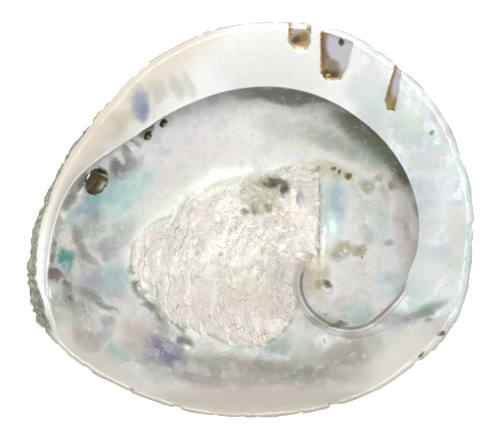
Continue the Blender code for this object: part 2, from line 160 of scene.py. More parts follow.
# Carved one by one: each is (x, y, half length, half width, tilt in degrees, height).
# Negative heights are hollows.
BOWL_MARKS = [
    (-48.5, 20.1, 5, 4.6, 30, -1.5), (-45.9, 27.6, 3.4, 2.8, 40, -0.9),
    (-53.1, 23.5, 1.6, 3.6, 20, 0.9), (-43.4, 24.4, 1.2, 3.4, 35, 0.7),
    (-42.2, 31.6, 1.2, 2.4, 40, 0.6), (-37.6, 35.6, 1.4, 2.2, 50, 0.7),
    (-64.5, 10.8, 1.5, 2.4, -25, 0.9), (-67.4, 6.8, 2, 3.2, -25, -0.8),
    (-69.8, 2.2, 1.4, 2.2, -15, 0.9), (-70.9, -3, 1.3, 2, -10, 0.7),
    (-73.3, -7.1, 1.5, 2.2, -10, 0.8), (-76.2, -15.8, 1.6, 1.5, 0, 0.8),
    (-74, -21, 3.3, 3.2, 0, -1.3), (-76, -25.4, 1.6, 1.5, 0, 0.7),
    (-68.6, -28.5, 1.9, 6, 20, -0.7), (-68.8, -15.3, 3, 4.4, 10, -0.5),
    (-64, -11, 1.2, 5.4, 35, -0.5), (-58, -29.8, 7, 1.3, -30, -0.4),
    (-56.3, -40.7, 5.2, 5, 0, -0.45), (-61.5, -45.9, 6.2, 3, -28, -0.4),
    (-42.9, -25.7, 1.7, 3.4, 20, -0.9), (-37.3, -30.8, 4.8, 1.6, -35, -0.7),
    (-33.4, -37.4, 1.5, 5, 25, -0.7), (-29, -45, 1.6, 4.6, 35, 0.6),
    (-24.6, -48.6, 3.4, 2, -30, -0.9), (-28, -51.5, 5, 3.2, -30, -0.5),
    (8.2, -16.4, 4.6, 5.4, 10, -0.6), (8.2, -16.4, 2.2, 2.8, 10, 0.7), (15, -2.2, 2.2, 2, 0, 0.5),
    (11, -6.4, 1.7, 1.7, 0, 0.6), (18.6, 9, 1.2, 2.8, -8, -1.3), (8.2, 13.4, 2.2, 1.4, -20, -1.3),
    (13.1, 11.2, 1.4, 1.9, -10, -1.4), (16.6, -9.6, 3.4, 3.4, 0, 0.4),
    (26.1, 19, 1, 1.2, 0, -0.7), (31, 18.6, 0.9, 0.9, 0, -0.7), (33.6, 17.9, 0.9, 0.9, 0, -0.7),
    (37.3, 16.4, 1.2, 1.2, 0, -0.8), (48.3, 15.7, 1.3, 1.5, 0, -0.8),
    (54.1, 12.3, 1.3, 2.3, 10, -0.7), (44.6, 13.1, 3, 3.6, 0, -0.6),
    (57.4, -1.1, 1.3, 1.9, 15, -0.7), (29.1, -25.7, 2, 1.5, 0, -1),
    (26, -22.6, 3.4, 4.4, 20, 0.12), (33, 3, 3.6, 7.5, 0, -0.4), (37.4, -11, 3, 2.4, 20, -0.5),
    (42.6, -12.9, 2.6, 2, 10, -0.4), (47, -5, 3, 2, 30, 0.3),
]  # fmt: skip

# Stains in the pearl of the bowl, among them painted shade under the shelf and in pits,
# painted highlights on beads, and the bowl's top painted brighter: x, y, half length,
# half width, tilt, softness, strength, colour (as painted, 0 to 255).
BOWL_STAINS_AND_PAINTED_LIGHT = [
    # breadth of the bowl
    # painted light: the top of the bowl under the shelf painted brighter than its pearl
    (-6, 36, 24, 7, 4, 0.6, 0.85, (250, 248, 246)),
    (-34, 27, 16, 6, 32, 0.7, 0.7, (250, 247, 248)),
    (2, 22, 26, 6, -6, 0.7, 0.6, (242, 238, 240)),
    # painted shade under the shelf's free edge: a grey band along the top, dark brown on the right
    (14, 46.8, 26, 2.8, -5, 0.5, 0.85, (136, 134, 124)),
    (49, 28, 19, 5, -50, 0.5, 0.85, (66, 58, 42)),
    (26.7, 0.5, 0.8, 14.5, 0, 0.5, 0.8, (120, 112, 104)),
    # greys towards the bottom and the left of the bowl
    (-6, -56, 12, 2.6, -8, 0.6, 0.8, (150, 158, 146)),
    (12, -60, 16, 2, 4, 0.6, 0.8, (158, 140, 134)),
    (34, -57, 12, 3, 22, 0.6, 0.7, (158, 154, 146)),
    (-40, -52, 9, 3, -32, 0.6, 0.7, (150, 144, 140)),
    (-66, -24, 6, 14, 12, 0.8, 0.55, (150, 160, 152)),
    (-30, 40, 26, 10, 32, 0.8, 0.5, (236, 232, 236)),
    (5, -58, 34, 6, -2, 0.6, 0.8, (172, 160, 148)),
    (30, -55, 14, 6, 15, 0.7, 0.7, (184, 180, 168)),
    (-8, -62, 24, 5, -4, 0.7, 0.5, (190, 182, 174)),
    (-20, 0, 16, 24, -15, 0.9, 0.5, (238, 228, 226)),
    (48, -50, 12, 6, 35, 0.7, 0.6, (206, 202, 190)),
    # left, beside the open hole
    (-55.5, 8, 7.5, 3, 10, 0.6, 0.9, (132, 178, 174)),
    (-60.1, 2, 6, 3.6, 5, 0.7, 0.85, (158, 172, 182)),
    (-48.5, 8, 6, 6.5, 0, 0.7, 0.8, (192, 226, 220)),
    (-52, 13, 3.5, 4.5, 0, 0.7, 0.7, (160, 186, 192)),
    (-42.9, 14.5, 7.5, 4, 20, 0.8, 0.7, (196, 224, 220)),
    (-61.2, -3.4, 3, 4, 0, 0.7, 0.8, (170, 174, 170)),
    (-48.5, 20.1, 5.2, 4.6, 30, 0.45, 0.9, (156, 158, 158)),
    # painted shade in the sealed dimple's lower left
    (-50.2, 18.4, 2.6, 3, 30, 0.6, 0.7, (118, 122, 118)),
    (-45.9, 27.6, 3.2, 2.6, 40, 0.5, 0.8, (150, 152, 146)),
    # painted shade in the dark pits round the two small open holes
    (-40.5, 33.6, 2.2, 1.6, 40, 0.5, 0.9, (96, 98, 84)),
    (-34.8, 38.2, 2.2, 1.6, 40, 0.5, 0.9, (92, 92, 78)),
    # painted shade: thin grey streaks along the inner edge of the shelf's narrow strip
    (-66, 12, 2, 9, -24, 0.6, 0.8, (140, 140, 128)),
    (-72.5, -4, 1.5, 10, -8, 0.6, 0.7, (150, 150, 138)),
    (-67.4, 6.8, 2.2, 3.4, -25, 0.5, 0.7, (128, 128, 116)),
    (-64.4, -8, 1.6, 5.5, 20, 0.7, 0.75, (138, 130, 122)),
    (-61, -15.5, 4.6, 1.5, -38, 0.7, 0.7, (140, 132, 124)),
    (-68.8, -15.3, 2.6, 4.2, 10, 0.5, 0.95, (74, 142, 140)),
    (-74, -21, 3.1, 3, 0, 0.3, 0.95, (120, 106, 102)),
    (-68.2, -28.6, 1.8, 6.4, 20, 0.5, 0.9, (92, 102, 82)),
    (-72.2, -31.6, 3.2, 4.4, 10, 0.8, 0.8, (158, 168, 156)),
    (-70, -36, 5, 4, -30, 0.8, 0.6, (180, 184, 168)),
    (-57.8, -24.4, 5.6, 5, 0, 0.8, 0.85, (172, 170, 178)),
    (-50.4, -23.1, 4.6, 5.6, 0, 0.7, 0.85, (176, 196, 200)),
    (-58.4, -30.2, 8.6, 1.5, -30, 0.5, 0.8, (146, 142, 134)),
    (-52.6, -34.6, 3.4, 1.3, -50, 0.5, 0.7, (150, 146, 138)),
    (-64, -33, 3.6, 2.6, 0, 0.7, 0.6, (166, 164, 156)),
    (-56.3, -40.7, 6.6, 6.4, 0, 0.25, 0.85, (222, 216, 204)),
    (-55.6, -41.4, 4.9, 5, 0, 0.25, 0.9, (186, 187, 190)),
    (-61.5, -46.4, 6.4, 3.2, -28, 0.35, 0.9, (152, 148, 142)),
    (-44, -42.5, 7, 5.4, -10, 0.6, 0.7, (216, 208, 194)),
    # painted highlights on the ridges round the sealed holes
    (-45.7, 27.8, 1.2, 2.6, 35, 0.5, 0.85, (252, 252, 248)),
    (-42.4, 30.4, 1, 2.2, 38, 0.5, 0.8, (250, 250, 246)),
    (-49.6, 23.2, 1.1, 2.4, 30, 0.5, 0.8, (250, 250, 246)),
    # painted shade in a pit round the small open holes
    (-38.2, 35, 1.6, 1.6, 38, 0.5, 0.85, (70, 74, 54)),
    (-62.6, 14.6, 1.2, 3.4, -28, 0.5, 0.8, (96, 98, 84)),
    (-73.4, -12, 1.2, 4.4, -8, 0.5, 0.8, (104, 108, 98)),
    # the dark flecks and purple blotch below the scar
    (-36.4, -33.6, 4.4, 1.2, -42, 0.6, 0.85, (110, 100, 98)),
    (-28.6, -39.6, 4.6, 1.2, -46, 0.6, 0.85, (112, 106, 100)),
    (-44.8, -19, 1.7, 1.6, 0, 0.5, 0.85, (78, 70, 64)),
    (-42.9, -25.7, 1.6, 3.2, 20, 0.6, 0.85, (122, 114, 106)),
    (-38.3, -30.2, 5.2, 1.9, -35, 0.7, 0.8, (160, 150, 146)),
    (-46.5, -30.5, 6, 2.2, -25, 0.8, 0.6, (190, 178, 176)),
    (-33.8, -36.4, 1.6, 5.4, 28, 0.6, 0.85, (132, 126, 118)),
    (-30.2, -35, 1, 4.8, 28, 0.5, 0.8, (238, 234, 228)),
    (-24.6, -46, 3.4, 2, -25, 0.6, 0.85, (124, 126, 116)),
    (-38, -46, 8, 3.4, -32, 0.8, 0.65, (186, 172, 172)),
    (-31, -50.2, 8.2, 4.6, -30, 0.45, 0.9, (130, 120, 144)),
    (-36, -52.5, 4, 2, -30, 0.6, 0.6, (160, 150, 160)),
    (-14, -53, 8, 3, -12, 0.7, 0.6, (176, 176, 166)),
    (-20, -59, 7, 3, -12, 0.7, 0.6, (168, 160, 158)),
    (8, -55.6, 7, 2.4, 4, 0.6, 0.65, (150, 148, 140)),
    (21, -58.4, 7, 2.4, 8, 0.6, 0.65, (156, 154, 144)),
    # the deep end, beside the hook
    (32.5, 5, 4.8, 9, 0, 0.7, 0.85, (166, 188, 198)),
    (31.5, -3, 4.2, 5, 10, 0.7, 0.7, (196, 218, 222)),
    (35.8, -10.6, 3.6, 2.6, 20, 0.7, 0.85, (172, 158, 134)),
    (34, -14, 3, 2.2, 0, 0.7, 0.75, (160, 158, 150)),
    (42, -12.6, 2.6, 2.3, 10, 0.7, 0.85, (160, 146, 124)),
    (25.8, -20.6, 5.4, 7.8, 12, 0.5, 0.85, (204, 190, 164)),
    (24.6, -27.6, 2.4, 4, 20, 0.7, 0.75, (206, 192, 164)),
    (29.4, -25.7, 1.8, 1.2, -10, 0.5, 0.95, (70, 56, 34)),
    (26.4, -26, 1.7, 1.3, 0, 0.6, 0.8, (120, 104, 74)),
    (30.5, 18.6, 9, 2.6, -12, 0.8, 0.75, (196, 182, 152)),
    (26.1, 18.8, 1.1, 1.2, 0, 0.5, 0.85, (130, 106, 62)),
    (31, 18.6, 0.9, 0.9, 0, 0.5, 0.9, (92, 72, 36)),
    (33.6, 17.9, 0.9, 0.9, 0, 0.5, 0.9, (96, 76, 40)),
    (37.3, 16.4, 1.3, 1.3, 0, 0.5, 0.9, (104, 84, 46)),
    (48.3, 15.9, 1.4, 1.5, 0, 0.6, 0.9, (96, 86, 56)),
    (44.4, 13, 3, 3.2, 0, 0.5, 0.85, (164, 162, 140)),
    (54.2, 12.3, 1.5, 2.4, 10, 0.6, 0.85, (116, 112, 86)),
    (53, 14.6, 4, 2, -30, 0.8, 0.5, (176, 170, 150)),
    (57.4, -1.1, 2.6, 3.2, 15, 0.7, 0.75, (150, 142, 140)),
    (57.6, -1.3, 1, 1.3, 15, 0.5, 0.9, (84, 78, 74)),
    (44, -6.4, 2.4, 3.2, 20, 0.8, 0.7, (170, 172, 168)),
    (52.8, -9.3, 2, 1.3, 10, 0.6, 0.8, (128, 128, 126)),
    (49.6, -5.4, 5, 4.6, 0, 0.8, 0.6, (196, 204, 208)),
    (22.8, 15, 1.2, 2.2, -20, 0.6, 0.85, (98, 100, 92)),
    (58.6, -6, 3, 16, 4, 0.8, 0.7, (214, 196, 196)),
    (41, 22.5, 18, 3, -26, 0.8, 0.55, (226, 208, 200)),
    # painted shadow under the shelf's overhang on the right: brown by the edge, olive and grey
    # further in
    (56.5, 21, 10.5, 4.2, -52, 0.7, 0.9, (104, 84, 74)),
    (44, 31, 14, 3.2, -38, 0.7, 0.9, (124, 122, 100)),
    (36.5, 27.4, 13, 3.2, -26, 0.8, 0.8, (160, 168, 160)),
    (18, 33, 12, 3.6, -12, 0.8, 0.5, (178, 184, 178)),
    (28, 10, 2, 8, 5, 0.8, 0.4, (206, 206, 190)),
    # under the hook, towards the outer lip
    (27.6, -38.2, 6.6, 2.2, -12, 0.6, 0.8, (156, 168, 152)),
    (33.6, -39.4, 3.2, 0.9, 10, 0.5, 0.95, (66, 62, 58)),
    (28.3, -44.8, 1.8, 1.6, 0, 0.6, 0.9, (246, 246, 244)),
    (28.4, -45, 0.6, 0.6, 0, 0.5, 0.8, (160, 164, 160)),
    (34.4, -51, 7.6, 3.4, 6, 0.8, 0.75, (166, 152, 148)),
    (19.6, -30, 2.4, 8, -8, 0.8, 0.6, (182, 174, 166)),
    (41, -44.6, 8, 3.2, 12, 0.8, 0.6, (178, 172, 164)),
    (22, -47, 5, 4, 0, 0.8, 0.5, (196, 196, 186)),
]  # fmt: skip

SCAR_STAINS = [
    (4, 10.4, 6.4, 6.6, 20, 0.6, 0.7, (196, 190, 168)),
    (7, 14.8, 6, 2.4, -14, 0.7, 0.75, (152, 146, 118)),
    (8.4, 13.6, 2.2, 1.4, -20, 0.5, 0.9, (88, 86, 70)),
    (13.1, 11, 1.4, 2, -10, 0.5, 0.9, (84, 82, 68)),
    (11.4, 14, 3, 1, -20, 0.5, 0.8, (92, 88, 72)),
    (-5.4, 15.6, 6, 2.2, 22, 0.8, 0.7, (198, 202, 182)),
    (-22.4, 13.8, 1, 2.8, -30, 0.6, 0.7, (136, 112, 102)),
    (-20.4, 8.4, 4.4, 6, -20, 0.8, 0.5, (238, 222, 222)),
    (-2.4, 3, 1.4, 1.6, 0, 0.6, 0.75, (140, 130, 104)),
    (1.6, 4, 1.2, 1.6, 0, 0.6, 0.75, (134, 128, 106)),
    (6.2, 4.2, 1.6, 1.8, 0, 0.6, 0.7, (144, 138, 116)),
    (18.6, 9, 1.3, 2.9, -8, 0.4, 0.95, (72, 46, 52)),
    (20.6, 5, 3.8, 7.4, 0, 0.7, 0.6, (238, 226, 232)),
    (17, 0.4, 3, 2.2, 0, 0.8, 0.5, (216, 194, 176)),
    (21.6, -8, 4.4, 3, 0, 0.8, 0.5, (232, 222, 228)),
    (13, -6.2, 1.7, 1.7, 0, 0.3, 0.6, (188, 184, 172)),
    (8, -16.4, 5.2, 6, 10, 0.4, 0.55, (196, 194, 182)),
    (8.2, -16.4, 2.5, 3.2, 10, 0.3, 0.4, (246, 243, 238)),
    (24, -15.6, 4, 1.6, 25, 0.7, 0.7, (160, 142, 134)),
    (2, -29, 8, 5, -40, 0.8, 0.4, (232, 216, 200)),
    (-15, -22, 5, 10, 15, 0.8, 0.4, (246, 240, 238)),
    (20, -22, 2.6, 7, -16, 0.8, 0.6, (190, 184, 176)),
]  # fmt: skip

SHELF_STAINS = [
    (-50.7, 35.5, 6, 3.6, 38, 0.6, 0.8, (210, 198, 182)),
    (-57, 30, 7, 3, 48, 0.7, 0.6, (232, 220, 206)),
    (-41.5, 42.8, 3.6, 5.4, 15, 0.6, 0.85, (158, 162, 184)),
    (-39.5, 40.5, 2.2, 3.4, 15, 0.6, 0.7, (142, 148, 176)),
    (-35.2, 48, 3, 3.6, 20, 0.7, 0.65, (206, 202, 192)),
    (-28, 49.6, 2, 4.6, 22, 0.6, 0.6, (196, 200, 198)),
    (-23.6, 50, 1.6, 4.8, 18, 0.6, 0.6, (214, 218, 214)),
    (-36.5, 43, 1.2, 4, 18, 0.6, 0.5, (240, 238, 232)),
    (14, 58, 18, 8, 0, 0.9, 0.4, (246, 249, 252)),
    (49.5, 44, 8, 5, -50, 0.8, 0.6, (206, 224, 220)),
    (43, 50, 4, 6, -30, 0.7, 0.6, (226, 234, 234)),
    (59.7, 33.2, 4.6, 4.4, -30, 0.8, 0.65, (196, 220, 212)),
    (66.5, 22, 4.4, 3.6, 0, 0.8, 0.6, (214, 218, 228)),
    (64.4, 8.5, 4.6, 4.8, 0, 0.7, 0.6, (206, 210, 230)),
    (71.5, 33, 1.6, 6, 20, 0.7, 0.5, (190, 196, 196)),
    (65, -4, 5.6, 4.4, 0, 0.8, 0.5, (220, 226, 236)),
    (65.5, -16, 6.4, 4.4, 0, 0.8, 0.55, (212, 224, 226)),
    (62, -25, 2.8, 3.4, 30, 0.7, 0.65, (186, 202, 200)),
    (77, -10, 2.4, 12, -4, 0.8, 0.5, (212, 208, 196)),
    (67, -22, 6, 6, 0, 0.8, 0.4, (236, 242, 240)),
    (60.8, -37.6, 10, 2.2, 38, 0.6, 0.85, (146, 158, 156)),
    (66.6, -34.6, 8, 1.4, 28, 0.6, 0.8, (150, 160, 152)),
    (67.4, -38.2, 2, 1.4, 20, 0.5, 0.9, (84, 84, 82)),
    (55.6, -43.6, 3, 3, 50, 0.7, 0.75, (134, 142, 134)),
    (52.6, -37.8, 2.6, 2, 0, 0.5, 0.8, (98, 84, 78)),
    (54.4, -37, 2, 1.2, -30, 0.4, 0.9, (250, 250, 250)),
    (66.9, 32.8, 0.9, 0.8, 0, 0.5, 0.85, (134, 142, 148)),
    (46, 36, 2.6, 6, 40, 0.8, 0.5, (200, 214, 210)),
]  # fmt: skip

LIP_STAINS = [
    (0, -70, 62, 5, 0, 0.9, 0.8, (210, 199, 187)),
    (58, -54, 14, 7, 38, 0.8, 0.8, (238, 231, 222)),
    (-60, -54, 14, 6, -32, 0.9, 0.6, (216, 206, 196)),
    (71.2, -43.2, 1.5, 1, 30, 0.5, 0.85, (112, 96, 80)),
    (63, -51.1, 1.2, 0.9, 30, 0.5, 0.8, (104, 96, 80)),
    (10, -67, 30, 2.4, 0, 0.8, 0.5, (196, 190, 176)),
]  # fmt: skip

# Windows worn through the shelf's pearl to the horny layer: the corners of each, and how
# deep the worn floor lies.
WINDOWS = [
    ((14.2, 73.6), (14.2, 66.0), (16.4, 63.4), (21.2, 63.2), (22.8, 66.0), (23.2, 73.4)),
    ((26.0, 71.0), (26.2, 54.8), (28.4, 51.8), (34.0, 52.0), (36.6, 56.5), (39.0, 66.4)),
    ((54.0, 58.0), (50.2, 44.4), (51.4, 40.6), (54.4, 40.2), (57.2, 57.0)),
]  # fmt: skip
WINDOW_DEPTH = 0.9

# Each window's colours: its edge, its floor, and the stains on the floor.
WINDOW_FLOORS = [
    {
        "rim": (170, 124, 40), "ring": (132, 88, 22),
        "stains_and_painted_light": [
            (18.7, 72.6, 3.2, 1.9, 0, 0.4, 0.9, (240, 240, 244)),
            (18.7, 70, 2.6, 1, 0, 0.6, 0.8, (178, 160, 148)),
            (17.6, 67.2, 2.6, 1.6, 20, 0.6, 0.85, (84, 52, 12)),
            (20.6, 67.8, 1.6, 1.8, 0, 0.6, 0.85, (150, 104, 34)),
            (18.8, 64.2, 3.4, 0.8, 0, 0.6, 0.8, (206, 170, 92)),
        ],
    },
    {
        "rim": (178, 132, 44), "ring": (128, 86, 26),
        "stains_and_painted_light": [
            (33.9, 64.4, 5, 7.4, 12, 0.2, 0.97, (196, 191, 200)),
            (36.4, 59.4, 2.4, 4.6, -8, 0.5, 0.8, (188, 188, 192)),
            (30.2, 54.2, 3.4, 2.2, 0, 0.5, 0.95, (64, 40, 8)),
            (30.8, 57.6, 2.2, 2, 0, 0.6, 0.8, (136, 112, 84)),
            (27.3, 64, 0.9, 8, 2, 0.5, 0.8, (112, 72, 16)),
            (34.2, 66.2, 1, 1.4, 10, 0.4, 0.95, (44, 40, 46)),
            (31, 52.4, 2.6, 0.6, 0, 0.5, 0.7, (214, 186, 110)),
            (29.4, 54, 0.8, 0.5, 20, 0.4, 0.8, (214, 176, 92)),
        ],
    },
    {
        "rim": (150, 112, 42), "ring": (112, 78, 26),
        "stains_and_painted_light": [
            (51.4, 43, 1.4, 2.4, -10, 0.5, 0.8, (150, 140, 92)),
            (55.2, 51.6, 1.6, 6, -14, 0.6, 0.85, (186, 186, 190)),
            (53, 40.8, 1.8, 0.7, -10, 0.5, 0.9, (78, 64, 34)),
        ],
    },
]  # fmt: skip


# --- curves -----------------------------------------------------------------------------
def smooth_curve(points, steps):
    """Points along a closed Catmull-Rom curve through the given ones."""
    p = np.array(points, float)
    at = np.linspace(0, len(p), steps, endpoint=False)
    span = at.astype(int)
    t = (at - span)[:, None]
    before, start, end, after = (p[(span + k) % len(p)] for k in (-1, 0, 1, 2))
    return 0.5 * (
        2 * start
        + (end - before) * t
        + (2 * before - 5 * start + 4 * end - after) * t**2
        + (3 * start - before - 3 * end + after) * t**3
    )


def smoothstep(low, high, value):
    t = np.clip((value - low) / (high - low), 0, 1)
    return t * t * (3 - 2 * t)


def radius_table(centre):
    """The rim's radius about a point, as sorted (angles in degrees, radii)."""
    rim = smooth_curve(RIM, 1440) - np.array(centre)
    angle = np.degrees(np.arctan2(rim[:, 1], rim[:, 0])) % 360
    order = np.argsort(angle)
    return angle[order], np.hypot(rim[:, 0], rim[:, 1])[order]


RIM_FROM_MIDDLE = radius_table((0, 0))
RIM_FROM_APEX = radius_table(APEX)


def about_middle(x, y):
    angle = np.degrees(np.arctan2(y, x))
    return angle, np.hypot(x, y), np.interp(angle % 360, *RIM_FROM_MIDDLE, period=360)


# --- the spiral -------------------------------------------------------------------------
LIP_START_RADIUS = np.interp(LAST_TURN_START, *RIM_FROM_APEX, period=360)
LIP_END_RADIUS = np.interp(LAST_TURN_END % 360, *RIM_FROM_APEX, period=360)
WHORL_GROWTH = math.log(LIP_END_RADIUS / LIP_START_RADIUS) / math.radians(
    LAST_TURN_END - LAST_TURN_START
)
WHORL_RATIO = math.exp(WHORL_GROWTH * 2 * math.pi)


def whorl_radius(turn):
    """Distance from the apex to the whorl's margin at any angle of turn."""
    turns_back = np.maximum(0, np.ceil((LAST_TURN_START - turn) / 360))
    last = turn + 360 * turns_back
    margin = np.interp(last % 360, *RIM_FROM_APEX, period=360)
    grown_on = LIP_END_RADIUS * np.exp(WHORL_GROWTH * np.radians(last - LAST_TURN_END))
    return np.where(last <= LAST_TURN_END, margin, grown_on) / WHORL_RATIO**turns_back


def whorl_place(x, y):
    """(turn, share of the whorl's width from its suture out, whether a newer one adjoins)."""
    dx, dy = x - APEX[0], y - APEX[1]
    radius = np.maximum(np.hypot(dx, dy), 0.8)
    turn = np.degrees(np.arctan2(dy, dx)) % 360
    turn = np.where(turn < LAST_TURN_START, turn + 360, turn)
    adjoined = np.zeros(np.shape(turn), bool)
    for _ in range(3):
        older = radius < whorl_radius(turn - 360)
        turn = np.where(older, turn - 360, turn)
        adjoined |= older
    inner, outer = whorl_radius(turn - 360), whorl_radius(turn)
    return turn, np.clip(np.log(radius / inner) / np.log(outer / inner), 0, 1), adjoined


def spire_rise(age):
    rise = smoothstep(1.0, 1.7, age)
    rise = rise + 0.55 * smoothstep(2.0, 2.7, age) + 0.3 * smoothstep(3.0, 3.7, age)
    return SPIRE_STEP * rise


def spiral_relief(x, y):
    """How far the outside stands out from the plain dome: whorl steps, keel, suture."""
    turn, share, adjoined = whorl_place(x, y)
    age = (LAST_TURN_START + 360 - turn) / 360
    step_down = (spire_rise(age) - spire_rise(age - 1)) * smoothstep(0.72, 1.0, share)
    keel = KEEL_HEIGHT * np.exp(-(((share - KEEL_PLACE) / 0.04) ** 2) - np.maximum(age - 0.9, 0))
    groove = smoothstep(0.0, 0.35, age) * np.exp(-((share / 0.08) ** 2))
    beyond = smoothstep(0.0, 0.35, age - 1) * np.exp(-(((1 - share) / 0.08) ** 2))
    groove = groove + np.where(adjoined, beyond, 0)
    relief = spire_rise(age) - np.where(adjoined, step_down, 0) + keel - SUTURE_DEPTH * groove
    near_apex = 1 - smoothstep(1.5, 5.0, np.hypot(x - APEX[0], y - APEX[1]))
    return relief + (SPIRE_STEP * 1.8 - relief) * near_apex


# --- heights of the two faces of the wall -----------------------------------------------
def margin_share(angle):
    """1 on the shelf's side of the rim, 0 on the outer lip."""
    return np.clip(np.cos(np.radians((angle - MARGIN_DIRECTION + 180) % 360 - 180) * 0.74), 0, 1)


def steepness(angle):
    return LIP_STEEPNESS + (MARGIN_STEEPNESS - LIP_STEEPNESS) * margin_share(angle)


def outer_height(x, y):
    angle, radius, rim = about_middle(x, y)
    share = np.minimum(radius / rim, 1.0)
    dome = OUTER_DEPTH * (1 - share ** steepness(angle))
    return -dome - spiral_relief(x, y) * smoothstep(0.0, 0.12, 1 - share)


def scar_cover(x, y):
    """1 on the muscle scar, 0 off it."""
    away = np.hypot((x - SCAR_CENTRE[0]) / SCAR_REACH[0], (y - SCAR_CENTRE[1]) / SCAR_REACH[1])
    edge = 1 - smoothstep(SCAR_EDGE_X - 1.1, SCAR_EDGE_X + 0.7, x)
    return (1 - smoothstep(0.76, 1.16, away)) * edge


def scar_tint(x, y):
    """1 where the scar's chalky face shows: joined ovals, cut off along its right edge."""
    away = np.min([oval(x, y, shape) for shape in SCAR_OVALS], axis=0)
    edge = 1 - smoothstep(SCAR_EDGE_X - 0.9, SCAR_EDGE_X + 0.3, x)
    past_hook = smoothstep(16.0, 18.0, np.hypot(x - APEX[0], y - APEX[1]))
    return (1 - smoothstep(0.86, 1.10, away)) * edge * past_hook


def floor_height(x, y, wall):
    """The inside of the bowl, without the shelf."""
    angle, radius, rim = about_middle(x, y)
    share = np.minimum(radius / (rim - wall), 1.0)
    bowl = (OUTER_DEPTH - FLOOR_WALL) * (1 - share ** steepness(angle))
    from_cavity = np.hypot(x - CAVITY[0], y - CAVITY[1]) / CAVITY_REACH
    cavity = CAVITY_DEPTH * np.exp(-(from_cavity**2)) * smoothstep(1.0, 0.8, share)
    return SCAR_HEIGHT * scar_cover(x, y) - bowl - cavity


# --- cross-sections ---------------------------------------------------------------------
def shelf_at(turn):
    """Edge radius and height, root radius and height, hollow and fall at that turn."""
    near = turn + np.linspace(-1, 1, 9) * SHELF_BLEND
    table = np.array(SHELF, float)
    return [np.interp(near, table[:, 0], table[:, k]).mean() for k in range(1, 7)]


def shelf_strength(turn):
    """0 where the shelf dies out at its two ends, 1 between them."""
    first, last = SHELF[0][0], SHELF[-1][0]
    old = smoothstep(first, first + SHELF_FADE[0], turn)
    return float(old * (1 - smoothstep(last - SHELF_FADE[1], last, turn)))


